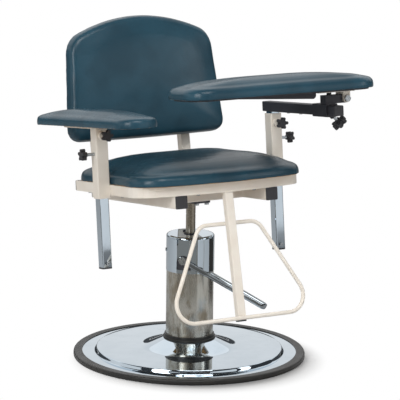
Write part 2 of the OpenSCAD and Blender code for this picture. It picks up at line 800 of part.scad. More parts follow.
// Back upright: its foot is cut to stand on the rail, its screws pass through it
module upright(side) color(cream) difference() {
    intersection() {
        back_frame() translate([side * rail_x, back_board_t + upright_w / 2, -upright_w])
            square_tube(upright_w, upright_w, tube_wall, upright_h + upright_w, tube_round);
        seat_frame() translate([side * rail_x - rail_w, 0, 0])
            cube([2 * rail_w, 2 * upright_h, 2 * upright_h]);
    }
    back_screw_holes();
}

module back_screw_places() for (s = [-1, 1], z = [back_z + back_foot_r * 2, upright_h - upright_w])
    back_frame() translate([s * rail_x, back_board_t + upright_w, z]) along_y() children();

module back_screw_holes() back_screw_places() translate([0, 0, -upright_w - back_screw_bite])
    disc(seat_screw_r, upright_w + back_screw_bite + cut);

module upright_left() upright(-1);
module upright_right() upright(1);

function seat_outline(d) = bowed_pad(seat_w / 2, seat_front, seat_rear, seat_bow_r,
    seat_corner_r, seat_rear_r, seat_pull, seat_rear_pull, d);

module seat_board_solid(extra) translate([0, 0, -extra]) linear_extrude(board_t + extra)
    polygon(seat_outline(board_inset));

module seat_board() color(plywood) seat_frame() difference() {
    translate([0, 0, ring_h]) seat_board_solid(0);
    seat_screw_holes();
}

module seat_pad() color(vinyl) seat_frame() translate([0, 0, ring_h]) difference() {
    ringed(pad_rings([for (s = side_shares) seat_outline(s[1] * seat_round)],
        seat_edge_h, seat_t, seat_crown_power), [0, 0, seat_t + pad_lift]);
    seat_board_solid(cut);
}

// Places of the screws that hold the seat board, all under the ring tube
module seat_screw_places() {
    half = post_x - sleeve_w / 2 - ring_w / 2;
    for (s = [-1, 1]) {
        translate([s * seat_screw_x, ring_w / 2 - ring_front + pow(seat_screw_x, 2) / ring_bow_r / 2, 0])
            children();
        for (y = [-seat_screw_y, 2 * seat_screw_y]) translate([s * half, y, 0]) children();
    }
}

module seat_screws() color(zinc) seat_frame() seat_screw_places() mirror([0, 0, 1])
    screw(seat_screw_r, ring_h + seat_screw_bite, seat_screw_head_r, seat_screw_head_h);

function back_outline(d) = [for (p = bowed_pad(back_w / 2, back_h / 2, back_h / 2, back_top_r,
    back_shoulder_r, back_foot_r, back_pull, back_foot_pull, d))
    [p[0] * (1 - (1 - back_taper_share) * (1 / 2 - p[1] / back_h)), p[1]]];

// The back pad is drawn lying on its rear face, with its top towards -Y
module back_lying() back_frame() translate([0, 0, back_z + back_h / 2]) rotate([90, 0, 0])
    rotate([0, 0, 180]) children();

module back_pad() color(vinyl) back_lying() ringed(pad_rings(
    [for (s = side_shares) back_outline(s[1] * back_round)], back_edge_h, back_t, crown_power),
    [0, 0, back_t + pad_lift]);

module back_board() color(plywood) difference() {
    back_lying() translate([0, 0, -back_board_t]) linear_extrude(back_board_t)
        polygon(back_outline(back_board_inset));
    back_screw_holes();
}

module back_screws() color(zinc) back_screw_places()
    screw(seat_screw_r, upright_w + back_screw_bite, seat_screw_head_r, seat_screw_head_h);

module strut_frame() seat_frame() translate([0, -ring_front + strut_d / 2, 0])
    rotate([-strut_lean, 0, 0]) mirror([0, 0, 1]) children();

module footrest_strut() color(cream) intersection() {
    strut_frame() translate([0, 0, -strut_d])
        square_tube(strut_w, strut_d, strut_wall, strut_l + strut_d, strut_round);
    seat_frame() translate([-strut_w, -2 * ring_front, -2 * strut_l])
        cube([2 * strut_w, 2 * ring_front, 2 * strut_l - weld_gap]);
}

// The loop lies in a plane that passes behind the strut at its top and before it below
loop_reach = strut_d + 2 * rod_r + 2 * weld_gap;
loop_turn = asin(loop_reach / loop_h);
loop_side = atan((loop_foot - loop_top) / loop_h);
top_bend_x = loop_top + loop_bend_top * tan(loop_side) - loop_bend_top / cos(loop_side);
foot_bend_x = loop_top + (loop_h - loop_bend_foot) * tan(loop_side) - loop_bend_foot / cos(loop_side);
loop_steps_top = 6;
loop_steps_foot = 11;
loop_sides = 16;

// Points of one bend of the loop, each with the tube's heading there
function bend_points(centre, r, from, to, steps) = [for (i = [0 : steps])
    let (turn = from + (to - from) * i / steps)
    [centre[0] + r * cos(turn), centre[1] + r * sin(turn), turn + 90]];

loop_half = concat(
    bend_points([top_bend_x, loop_bend_top], loop_bend_top, -90, -loop_side, loop_steps_top),
    bend_points([foot_bend_x, loop_h - loop_bend_foot], loop_bend_foot, -loop_side, 90, loop_steps_foot));
loop_rings = [for (p = concat(loop_half, [for (i = [len(loop_half) - 1 : -1 : 0])
    [-loop_half[i][0], loop_half[i][1], -loop_half[i][2]]]))
    [for (j = [0 : loop_sides - 1]) let (turn = j * 360 / loop_sides)
        [p[0] - rod_r * cos(turn) * sin(p[2]), p[1] + rod_r * cos(turn) * cos(p[2]), rod_r * sin(turn)]]];

// A closed tube through rings that come back to the first one
module looped(rings) {
    n = len(rings[0]);
    m = len(rings);
    polyhedron(
        points = [for (ring = rings) each ring],
        faces = [for (i = [0 : m - 1], j = [0 : n - 1])
            let (k = (j + 1) % n, here = i * n, next = ((i + 1) % m) * n)
            each [[next + j, next + k, here + k], [next + j, here + k, here + j]]]);
}

module footrest_loop() color(cream) strut_frame()
    translate([0, strut_d / 2 + rod_r + weld_gap, loop_drop]) rotate([90 + loop_turn, 0, 0])
        looped(loop_rings);

module post(side) color(chrome) seat_frame() translate([side * post_x, post_y, -post_drop + plug_t])
    square_tube(post_w, post_w, post_wall, post_top + post_drop - plug_t, tube_round);
module armrest_post() difference() {
    post(-1);
    stop_screw_place(-1);
}
module flip_post() difference() {
    post(1);
    stop_screw_place(1);
}

module stop_screw_place(side) seat_frame()
    translate([side * post_x, post_y - post_w / 2 - cut, stop_screw_rise - post_drop])
        along_y() disc(stop_screw_r, post_wall + 2 * cut);

module post_plug(side) color(black) seat_frame()
    translate([side * post_x, post_y, plug_t - post_drop]) mirror([0, 0, 1]) {
        square_bar(post_w, post_w, plug_t, tube_round);
        translate([0, 0, -plug_t]) square_bar(post_w - 2 * post_wall, post_w - 2 * post_wall,
            plug_t, tube_round / 4);
    }
module armrest_post_plug() post_plug(-1);
module flip_post_plug() post_plug(1);

module stop_screw(side) color(zinc) seat_frame()
    translate([side * post_x, post_y - post_w / 2, stop_screw_rise - post_drop]) rotate([90, 0, 0])
        screw(stop_screw_r, post_wall, stop_screw_head_r, stop_screw_head_h);

// Frame of the plain armrest: its zero is on top of its post, tilted up to the front
module armrest_frame() seat_frame()
    translate([-post_x, post_y, post_top + post_w / 2 * tan(armrest_rake)])
    rotate([-armrest_rake, 0, 0]) children();

module armrest_channel() color(cream) armrest_frame() difference() {
    translate([-channel_w / 2, -channel_front, -channel_lip])
        cube([channel_w, channel_front + channel_back, channel_lip + channel_t]);
    translate([channel_t - channel_w / 2, -channel_front - cut, -channel_lip - cut])
        cube([channel_w - 2 * channel_t, channel_front + channel_back + 2 * cut, channel_lip + cut]);
    armrest_screw_places() translate([0, 0, -cut]) disc(arm_screw_r, channel_t + 2 * cut);
}

module armrest_screw_places() for (x = [-1, 1], y = [channel_w / 2, channel_back - arm_screw_x / 2])
    translate([x * arm_screw_x, y, 0]) children();

module armrest_screws() {
    color(zinc) armrest_frame() armrest_screw_places() mirror([0, 0, 1])
        screw(arm_screw_r, channel_t, arm_screw_head_r, arm_screw_head_h);
    stop_screw(-1);
}

function armrest_outline(d) = long_pad(armrest_l, armrest_w, arm_corner_r, arm_pull, d);

module armrest_lying() armrest_frame() translate([-armrest_out, armrest_back, channel_t])
    rotate([0, 0, 90]) children();

module armrest_board() color(plywood) armrest_lying() linear_extrude(arm_board_t)
    polygon(armrest_outline(arm_board_inset));

module armrest_pad() color(vinyl) armrest_lying() difference() {
    ringed(pad_rings([for (s = side_shares) armrest_outline(s[1] * arm_round)],
        arm_edge_h, armrest_t, crown_power), [0, 0, armrest_t + pad_lift]);
    translate([0, 0, -cut]) linear_extrude(arm_board_t + cut) polygon(armrest_outline(arm_board_inset));
}

module flip_bar() color(black) seat_frame() difference() {
    translate([post_x, post_y - bar_front, bar_z + bar_w / 2]) along_y()
        square_tube(bar_w, bar_w, post_wall, bar_front + bar_back, tube_round);
    for (y = bar_screw_at) translate([post_x, post_y - y, bar_z - cut])
        disc(bar_screw_r, post_wall + 2 * cut);
}

module flip_bar_caps() color(black) seat_frame() {
    translate([post_x, post_y - bar_front, bar_z + bar_w / 2]) rotate([90, 0, 0])
        tube_cap(bar_w, bar_w, post_wall, tube_round, cap_t);
    translate([post_x, post_y + bar_back, bar_z + bar_w / 2]) along_y()
        tube_cap(bar_w, bar_w, post_wall, tube_round, cap_t);
}

module flip_bar_screws() {
    color(zinc) seat_frame() for (y = bar_screw_at) translate([post_x, post_y - y, bar_z])
        mirror([0, 0, 1]) screw(bar_screw_r, post_wall, bar_screw_head_r, bar_screw_head_h);
    stop_screw(1);
}

// Frame of the sliding collar: its zero is the middle of the bar at the collar's front
module slider_frame() seat_frame() translate([post_x, post_y - slider_front, bar_z + bar_w / 2]) children();

// Direction of the clamp knob, out of the collar's lower outer corner
module clamp_frame() slider_frame() translate([slider_w / 2 - tube_round, clamp_back, tube_round - slider_w / 2])
    rotate([0, 135, 0]) children();

module flip_slider() color(black) difference() {
    union() {
        slider_frame() along_y() square_bar(slider_w, slider_w, slider_l, tube_round);
        clamp_frame() disc(boss_r * 3 / 4, boss_l / 2);
    }
    slider_frame() translate([0, -cut, 0]) along_y() square_bar(bar_w + 2 * slide_clear,
        bar_w + 2 * slide_clear, slider_l + 2 * cut, tube_round / 2);
    clamp_frame() translate([0, 0, -boss_l]) disc(stud_r + run_clear, 2 * boss_l);
}

// Frame of the hinge: its zero is on the hinge's axis, at the middle of its block
module hinge_frame() seat_frame()
    translate([hinge_x, post_y - slider_front + block_gap + block_l / 2, hinge_z]) children();

module hinge_block() color(black) hinge_frame() difference() {
    union() {
        translate([-block_w, -block_l / 2, block_z - hinge_z]) cube([block_w, block_l, block_h]);
        translate([0, -block_l / 2, 0]) along_y() disc(block_h / 2, block_l);
    }
    translate([0, -block_l, 0]) along_y() disc(hinge_r, 2 * block_l);
}

module hinge_bolt() color(zinc) hinge_frame() along_y() {
    half = block_l / 2 + 2 * lug_gap + lug_t;
    translate([0, 0, -half]) disc(hinge_r, 2 * half);
    translate([0, 0, -half - bolt_head_t]) cylinder(r = bolt_head_r, h = bolt_head_t, $fn = hex_sides);
    translate([0, 0, half]) cylinder(r = bolt_head_r, h = bolt_nut_t, $fn = hex_sides);
}

// Plate under the flip pad with two lugs that straddle the block
module hinge_bracket() color(cream) hinge_frame() difference() {
    union() {
        translate([-bracket_in, -bracket_w / 2, bracket_z - hinge_z])
            cube([bracket_in + bracket_out, bracket_w, bracket_t]);
        for (y = [-block_l / 2 - lug_gap - lug_t, block_l / 2 + lug_gap]) translate([0, y, 0]) {
            along_y() disc(lug_r, lug_t);
            translate([-lug_r, 0, 0]) cube([2 * lug_r, lug_t, bracket_z - hinge_z]);
        }
    }
    translate([0, -bracket_w, 0]) along_y() disc(hinge_r + run_clear, 2 * bracket_w);
}

// Rubber stops under the plate: one rests on the block, one is the stop when it is flipped up
module flip_bumper() color(black) hinge_frame() translate([0, 0, bracket_z - hinge_z]) mirror([0, 0, 1]) {
    translate([-bumper_in, 0, 0]) disc(bumper_r, bracket_rise - bumper_gap);
    translate([bracket_out - bumper_r, 0, 0]) disc(bumper_r, bumper_h);
}

// Tapered rail that stiffens the flip pad's board, from the hinge bracket inwards
module flip_brace() color(black) flip_frame() translate([hinge_x - flip_x - bracket_in
    - lug_gap, brace_w / 2, 0]) rotate([90, 0, 0]) linear_extrude(brace_w) polygon(concat(
    [[0, 0], [-brace_l, 0], [-brace_l, -brace_tip_h]],
    arc(-brace_h / 2, -brace_h / 2, brace_h / 2, 270, 360, arc_steps)));

// Frame of the flip pad, lying on top of the hinge's plate
module flip_frame() seat_frame() translate([flip_x,
    post_y - slider_front + block_gap + block_l / 2, bracket_z + bracket_t]) children();

function flip_outline(d) = long_pad(flip_l, flip_w, flip_corner_r, arm_pull, d);

module flip_board() color(black) flip_frame() linear_extrude(flip_board_t)
    polygon(flip_outline(flip_board_inset));

module flip_pad() color(vinyl) flip_frame() difference() {
    translate([0, 0, flip_board_drop]) ringed(pad_rings(
        [for (s = side_shares) flip_outline(s[1] * flip_round)], flip_edge_h, flip_t, crown_power),
        [0, 0, flip_t + pad_lift]);
    translate([0, 0, -cut]) linear_extrude(flip_board_t + cut) polygon(flip_outline(flip_board_inset));
}

// Lobed knob along +Z: its stud starts at zero and stands in its hole by bite
module star_knob(bite, reach, r, lobes, core_share) {
    color(zinc) translate([0, 0, -bite]) disc(stud_r, bite + reach);
    color(black) translate([0, 0, reach]) {
        disc(knob_neck_r, knob_neck_h);
        translate([0, 0, knob_neck_h]) {
            disc(r * core_share, knob_t);
            for (i = [0 : lobes - 1]) rotate(360 * i / lobes)
                translate([r * (1 - lobe_share), 0, 0]) disc(r * lobe_share, knob_t);
        }
    }
}

module front_knob(side, z) seat_frame()
    translate([side * post_x, post_y - sleeve_w / 2 - boss_l, z]) rotate([90, 0, 0])
        star_knob(boss_l + sleeve_wall, front_stud_l, knob_r, knob_lobes, knob_core_share);
module armrest_front_knob() front_knob(-1, armrest_knob_z);
module flip_front_knob() front_knob(1, flip_knob_z);

module side_knob(side) seat_frame()
    translate([side * (post_x + sleeve_w / 2), post_y, side_knob_z]) rotate([0, side * 90, 0])
        star_knob(sleeve_wall, side_stud_l, knob_r, knob_lobes, knob_core_share);
module armrest_side_knob() side_knob(-1);
module flip_side_knob() side_knob(1);
module slider_knob() clamp_frame() translate([0, 0, boss_l / 2])
    star_knob(boss_l / 2, clamp_stud_l - boss_l / 2, slider_knob_r, slider_knob_lobes, slider_core_share);

base_plate();
base_cover();
rubber_edge();
pump_bolts();
pump_cylinder();
ram_barrel();
pump_foot_collar();
pump_head();
pump_shell();
pump_shell_screws();
oil_plug();
ram_gland();
lever_axle();
lever_hub();
lever_pedal();
ram();
seat_plate();
seat_plate_bolts();
front_crossmember();
rear_crossmember();
seat_rail_left();
seat_rail_right();
tube_caps();
ring_tube();
armrest_sleeve();
flip_sleeve();
upright_left();
upright_right();
seat_board();
seat_pad();
seat_screws();
back_board();
back_pad();
back_screws();
footrest_strut();
footrest_loop();
armrest_post();
armrest_post_plug();
armrest_channel();
armrest_board();
armrest_pad();
armrest_screws();
flip_post();
flip_post_plug();
flip_bar();
flip_bar_caps();
flip_bar_screws();
flip_slider();
hinge_block();
hinge_bolt();
hinge_bracket();
flip_bumper();
flip_brace();
flip_board();
flip_pad();
armrest_front_knob();
armrest_side_knob();
flip_front_knob();
flip_side_knob();
slider_knob();
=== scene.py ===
"""Looks of a padded blood-draw chair that stands on a round pump base.

The chair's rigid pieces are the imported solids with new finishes. The four vinyl
cushions are built here as crowned bodies that a short cloth run fills out. The base's
pressed cover and the foot lever are built here too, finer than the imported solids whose
place they take, and the weld beads are added.
Lengths are in metres. Outlines and places that say millimetres are scaled by MM.
"""

from __future__ import annotations

import json
import logging
import math
from dataclasses import dataclass, field
from enum import Enum
from typing import Any, Mapping, Optional, Sequence, Union

import bpy
import numpy as np
from mathutils import Matrix, Vector

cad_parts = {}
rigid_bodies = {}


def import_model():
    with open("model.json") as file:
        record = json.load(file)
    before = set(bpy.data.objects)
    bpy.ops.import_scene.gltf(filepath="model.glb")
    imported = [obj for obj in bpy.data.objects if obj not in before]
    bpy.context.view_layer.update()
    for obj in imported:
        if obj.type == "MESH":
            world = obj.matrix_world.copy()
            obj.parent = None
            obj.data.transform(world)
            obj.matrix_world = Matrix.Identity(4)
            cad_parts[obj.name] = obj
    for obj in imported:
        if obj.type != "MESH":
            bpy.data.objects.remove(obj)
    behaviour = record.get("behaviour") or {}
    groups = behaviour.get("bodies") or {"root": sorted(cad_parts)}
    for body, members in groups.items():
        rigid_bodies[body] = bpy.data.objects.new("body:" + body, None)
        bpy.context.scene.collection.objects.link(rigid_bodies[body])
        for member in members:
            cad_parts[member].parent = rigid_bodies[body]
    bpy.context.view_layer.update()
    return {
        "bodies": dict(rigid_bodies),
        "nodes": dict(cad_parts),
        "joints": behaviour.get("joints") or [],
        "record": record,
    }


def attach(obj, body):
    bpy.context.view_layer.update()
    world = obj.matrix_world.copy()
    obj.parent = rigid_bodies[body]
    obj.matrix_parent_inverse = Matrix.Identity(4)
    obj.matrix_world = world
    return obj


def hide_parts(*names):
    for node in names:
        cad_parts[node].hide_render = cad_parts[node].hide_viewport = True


LOG = logging.getLogger("chair")
MM = 0.001
SHARP_EDGE = 35.0
PRESSED_EDGE = 50.0
WHITE = (1.0, 1.0, 1.0)
Triple = tuple[float, float, float]
Colour = Triple
Span = tuple[float, float]
Number = Union[int, float, "Wire"]
Face = tuple[int, ...]


def linear(code: str) -> Colour:
    """Linear colour of a six digit hex code.

    Args:
        code: Red, green and blue as two hex digits each, such as "d9d0c4".

    Returns:
        The three channels as a shader socket takes them.
    """
    channels = [int(code[i : i + 2], 16) / 255 for i in (0, 2, 4)]
    return tuple(
        c / 12.92 if c <= 0.04045 else ((c + 0.055) / 1.055) ** 2.4 for c in channels
    )


class Maths(Enum):
    """Operations of a Math node that the finishes use."""

    ADD = "ADD"
    SUBTRACT = "SUBTRACT"
    MULTIPLY = "MULTIPLY"
    POWER = "POWER"
    MAXIMUM = "MAXIMUM"


class Wire:
    """A shader socket that takes part in arithmetic on numbers."""

    def __init__(self, board: "Board", socket: bpy.types.NodeSocket) -> None:
        """Wraps one output socket of the board's tree."""
        self.board = board
        self.socket = socket

    def maths(self, operation: Maths, *values: Number) -> "Wire":
        """Adds one Math node.

        Args:
            operation: The node's operation.
            values: Its inputs in order.

        Returns:
            The node's result.
        """
        return self.board.wire(
            "ShaderNodeMath", {"operation": operation.value}, dict(enumerate(values))
        )

    def __add__(self, other: Number) -> "Wire":
        """This value plus another."""
        return self.maths(Maths.ADD, self, other)

    def __radd__(self, other: Number) -> "Wire":
        """Another value plus this."""
        return self.maths(Maths.ADD, other, self)

    def __sub__(self, other: Number) -> "Wire":
        """This value less another."""
        return self.maths(Maths.SUBTRACT, self, other)

    def __rsub__(self, other: Number) -> "Wire":
        """Another value less this."""
        return self.maths(Maths.SUBTRACT, other, self)

    def __mul__(self, other: Number) -> "Wire":
        """This value times another."""
        return self.maths(Maths.MULTIPLY, self, other)

    def __rmul__(self, other: Number) -> "Wire":
        """Another value times this."""
        return self.maths(Maths.MULTIPLY, other, self)

    def __pow__(self, other: Number) -> "Wire":
        """This value to a power."""
        return self.maths(Maths.POWER, self, other)

    def __rpow__(self, other: Number) -> "Wire":
        """Another value to this power."""
        return self.maths(Maths.POWER, other, self)

    def most(self, other: Number) -> "Wire":
        """The larger of this value and another."""
        return self.maths(Maths.MAXIMUM, self, other)

    def ease(self, low: float, high: float) -> "Wire":
        """Smooth step of this value.

        Args:
            low: Where the step leaves zero.
            high: Where it reaches one.

        Returns:
            A value from zero to one.
        """
        return self.board.wire(
            "ShaderNodeMapRange",
            {"interpolation_type": "SMOOTHSTEP"},
            {"Value": self, "From Min": low, "From Max": high},
        )

    def between(self, low: float, high: float) -> "Wire":
        """This value from zero to one, spread from low to high."""
        return self * (high - low) + low

    def blended(self, other: "Wire", share: float) -> "Wire":
        """This value with a share of another in its place."""
        return self * (1 - share) + other * share


class Board:
    """The node tree of one material or world, as a workbench."""

    def __init__(self, owner: Any) -> None:
        """Clears the owner's node tree.

        Args:
            owner: A material or world.
        """
        owner.use_nodes = True
        self.tree = owner.node_tree
        self.tree.nodes.clear()

    def node(
        self,
        kind: str,
        settings: Optional[Mapping[str, Any]] = None,
        inputs: Optional[Mapping[Union[str, int], Any]] = None,
    ) -> bpy.types.Node:
        """Adds one node of any type.

        Args:
            kind: The node's type.
            settings: Its settings, which are made first.
            inputs: The value or link of each socket, by name or number.

        Returns:
            The new node.
        """
        made = self.tree.nodes.new(kind)
        for name, value in (settings or {}).items():
            setattr(made, name, value)
        for name, value in (inputs or {}).items():
            socket = made.inputs[name]
            if isinstance(value, Wire):
                self.tree.links.new(value.socket, socket)
            elif isinstance(value, bpy.types.NodeSocket):
                self.tree.links.new(value, socket)
            elif isinstance(value, tuple) and socket.type == "RGBA" and len(value) == 3:
                socket.default_value = (*value, 1.0)
            else:
                socket.default_value = value
        return made

    def wire(
        self,
        kind: str,
        settings: Optional[Mapping[str, Any]] = None,
        inputs: Optional[Mapping[Union[str, int], Any]] = None,
        output: Union[str, int] = 0,
    ) -> Wire:
        """Adds a node and wraps one of its outputs.

        Args:
            kind: The node's type.
            settings: Its settings.
            inputs: The value or link of each socket.
            output: The output that is wanted.

        Returns:
            That output.
        """
        return Wire(self, self.node(kind, settings, inputs).outputs[output])

    def place(self) -> Wire:
        """The point on the surface, in the object's own metres."""
        return self.wire("ShaderNodeTexCoord", output="Object")

    def turned(self, point: Wire, angles: Triple, scale: Triple) -> Wire:
        """A point in a turned and stretched frame.

        Args:
            point: The point.
            angles: Turns about the three axes, in radians.
            scale: Factors along the three axes.

        Returns:
            The new point.
        """
        return self.wire(
            "ShaderNodeMapping",
            {"vector_type": "TEXTURE"},
            {"Vector": point, "Rotation": angles, "Scale": scale},
        )

    def noise(self, point: Wire, size: float, detail: float, rough: float) -> Wire:
        """Soft noise.

        Args:
            point: Where it is read.
            size: Width of one swell, in the point's unit.
            detail: Number of finer layers.
            rough: Strength of the finer layers.

        Returns:
            A value around one half.
        """
        return self.wire(
            "ShaderNodeTexNoise",
            None,
            {"Vector": point, "Scale": 1 / size, "Detail": detail, "Roughness": rough},
        )

    def cells(self, point: Wire, size: float) -> Wire:
        """Distance from the middle of irregular cells.

        Args:
            point: Where it is read.
            size: Width of one cell.

        Returns:
            The distance, as a share of a cell.
        """
        return self.wire(
            "ShaderNodeTexVoronoi",
            {"feature": "F1"},
            {"Vector": point, "Scale": 1 / size},
            "Distance",
        )

    def parts(self, point: Wire) -> tuple[Wire, Wire, Wire]:
        """The three numbers of a point."""
        split = self.node("ShaderNodeSeparateXYZ", None, {0: point})
        return tuple(Wire(self, split.outputs[i]) for i in range(3))

    def mixed(
        self, factor: Number, first: Union[Wire, Colour], second: Union[Wire, Colour]
    ) -> Wire:
        """One colour over another.

        Args:
            factor: Share of the second colour.
            first: The colour below.
            second: The colour above.

        Returns:
            The mixed colour.
        """
        return self.wire(
            "ShaderNodeMix",
            {"data_type": "RGBA", "blend_type": "MIX"},
            {0: factor, 6: first, 7: second},
            2,
        )

    def bump(
        self, height: Wire, depth: float, strength: float, below: Optional[Wire] = None
    ) -> Wire:
        """Turns a height into a normal.

        Args:
            height: Values from zero to one.
            depth: Depth of one, in metres.
            strength: Share of the effect.
            below: A normal to which this one is added.

        Returns:
            The normal.
        """
        inputs = {"Height": height, "Distance": depth, "Strength": strength}
        if below is not None:
            inputs["Normal"] = below
        return self.wire("ShaderNodeBump", None, inputs)

    def shader(self, kind: str, **sockets: Any) -> bpy.types.NodeSocket:
        """Adds one shader.

        Args:
            kind: Its name, such as "BsdfPrincipled" or "Emission".
            sockets: Values or links by socket name, with _ for each space.

        Returns:
            The shader's output.
        """
        named = {name.replace("_", " "): value for name, value in sockets.items()}
        return self.node("ShaderNode" + kind, None, named).outputs[0]

    def end(self, shader: bpy.types.NodeSocket, kind: str = "Material") -> None:
        """Ends the tree in one shader, as a material or a world."""
        self.node("ShaderNodeOutput" + kind, None, {"Surface": shader})

    def surface(self, **sockets: Any) -> None:
        """Ends the tree in one Principled shader with these sockets."""
        self.end(self.shader("BsdfPrincipled", **sockets))


@dataclass(frozen=True)
class Pattern:
    """Soft noise of one size: its finer layers, and how it is stretched and turned."""

    size: float
    detail: float = 3.0
    rough: float = 0.5
    stretch: Optional[Triple] = None
    turn: Triple = (0.0, 0.0, 0.0)

    def on(self, board: Board, at: Wire) -> Wire:
        """The pattern's value at a point, as nodes on a board."""
        if self.stretch is not None:
            at = board.turned(at, self.turn, self.stretch)
        return board.noise(at, self.size, self.detail, self.rough)


@dataclass(frozen=True)
class Finish:
    """What every finish has: a name, and a way to lay it on a board.

    In each finish a field that ends in _at gives the values of a pattern where its
    effect starts and where it is full. One that ends in _share gives the effect's
    strength. A relief is a depth in metres and its strength.
    """

    name: str = "finish"

    def lay(self, board: Board) -> None:
        """Builds the finish's nodes on an empty board."""
        raise NotImplementedError

    def material(self) -> bpy.types.Material:
        """The finish as a material, made once.

        Returns:
            The material of this name.
        """
        found = bpy.data.materials.get(self.name)
        if found is None:
            found = bpy.data.materials.new(self.name)
            self.lay(Board(found))
        return found


@dataclass(frozen=True)
class Vinyl(Finish):
    """Upholstery vinyl: a fine pebbled grain in slightly uneven blue, with painted shade
    in its grooves.
    """

    name: str = "upholstery_vinyl"
    colour: Colour = linear("2a4b5a")
    shade: Colour = linear("213f4d")
    # Painted shade: the dark colour laid in the grain's grooves.
    painted_groove_shade: Colour = (0.006, 0.012, 0.018)
    drift: Pattern = Pattern(110 * MM)
    pores: Pattern = Pattern(0.52 * MM, 2.0)
    creases: Pattern = Pattern(45 * MM, 4.0, 0.6, (1, 2.6, 1.7), (0.3, 0.2, 0.5))
    grain: float = 1.3 * MM
    shade_at: Span = (0.34, 0.66)
    painted_groove_shade_at: Span = (0.35, 0.8)
    painted_groove_shade_share: float = 0.16
    pore_share: float = 0.25
    grain_relief: Span = (0.12 * MM, 0.45)
    crease_relief: Span = (0.4 * MM, 0.22)
    fine_share: float = 0.4
    rough_at: Span = (0.3, 0.7)
    roughness: Span = (0.24, 0.33)
    shine: float = 0.27

    def lay(self, board: Board) -> None:
        """Builds grain, faint stretch marks, colour drift and painted shade in the
        grooves.
        """
        at = board.place()
        drift, pores = self.drift.on(board, at), self.pores.on(board, at)
        cells = board.cells(at, self.grain)
        tone = board.mixed(drift.ease(*self.shade_at), self.colour, self.shade)
        # Painted shade: the grain's grooves, far from each cell's middle, are darkened.
        groove_shading = cells.ease(*self.painted_groove_shade_at) * self.painted_groove_shade_share
        height = (1 - cells).blended(pores, self.pore_share)
        normal = board.bump(height, *self.grain_relief)
        rough = drift.blended(pores, self.fine_share).ease(*self.rough_at)
        board.surface(
            Base_Color=board.mixed(groove_shading, tone, self.painted_groove_shade),
            Roughness=rough.between(*self.roughness),
            Normal=board.bump(self.creases.on(board, at), *self.crease_relief, normal),
            Specular_IOR_Level=self.shine,
        )


@dataclass(frozen=True)
class PowderCoat(Finish):
    """Cream powder coat with its faint orange peel."""

    name: str = "cream_powder_coat"
    colour: Colour = linear("ece5da")
    shade: Colour = linear("e5dccf")
    speck: Colour = (0.30, 0.25, 0.20)
    drift: Pattern = Pattern(70 * MM, 2.0)
    peel: Pattern = Pattern(1.1 * MM, 1.5)
    specks: float = 2.3 * MM
    shade_at: Span = (0.3, 0.7)
    speck_at: Span = (0.06, 0.0)
    speck_share: float = 0.12
    peel_relief: Span = (0.06 * MM, 0.5)
    peel_share: float = 0.5
    roughness: Span = (0.27, 0.45)
    coat: float = 0.12
    coat_roughness: float = 0.12

    def lay(self, board: Board) -> None:
        """Builds the peel and slight unevenness of the coat."""
        at = board.place()
        drift, peel = self.drift.on(board, at), self.peel.on(board, at)
        specks = board.cells(at, self.specks).ease(*self.speck_at) * self.speck_share
        tone = board.mixed(drift.ease(*self.shade_at), self.colour, self.shade)
        rough = drift.blended(peel, self.peel_share)
        board.surface(
            Base_Color=board.mixed(specks, tone, self.speck),
            Roughness=rough.between(*self.roughness),
            Normal=board.bump(peel, *self.peel_relief),
            Coat_Weight=self.coat,
            Coat_Roughness=self.coat_roughness,
        )


@dataclass(frozen=True)
class Chrome(Finish):
    """Polished chrome plate with wiping marks and a few hairlines."""

    name: str = "chrome_plate"
    colour: Colour = (0.51, 0.58, 0.64)
    wiped: Colour = (0.43, 0.50, 0.56)
    smears: Pattern = Pattern(60 * MM, 3.0, 0.6, (1, 1, 2.5), (0.2, 0.4, 0.1))
    hairlines: Pattern = Pattern(0.9 * MM, 2.0, 0.7, (1, 1, 14))
    wiped_at: Span = (0.35, 0.7)
    wiped_share: float = 0.5
    smear_at: Span = (0.4, 0.75)
    line_at: Span = (0.5, 0.9)
    line_share: float = 0.3
    line_relief: Span = (0.004 * MM, 0.3)
    roughness: Span = (0.02, 0.08)

    def lay(self, board: Board) -> None:
        """Builds wiping marks, hairlines and a faint drift of tone."""
        at = board.place()
        smear, lines = self.smears.on(board, at), self.hairlines.on(board, at)
        wiped = smear.ease(*self.wiped_at) * self.wiped_share
        scratched = lines.ease(*self.line_at)
        rough = smear.ease(*self.smear_at).blended(scratched, self.line_share)
        board.surface(
            Base_Color=board.mixed(wiped, self.colour, self.wiped),
            Metallic=1.0,
            Roughness=rough.between(*self.roughness),
            Normal=board.bump(lines, *self.line_relief),
        )


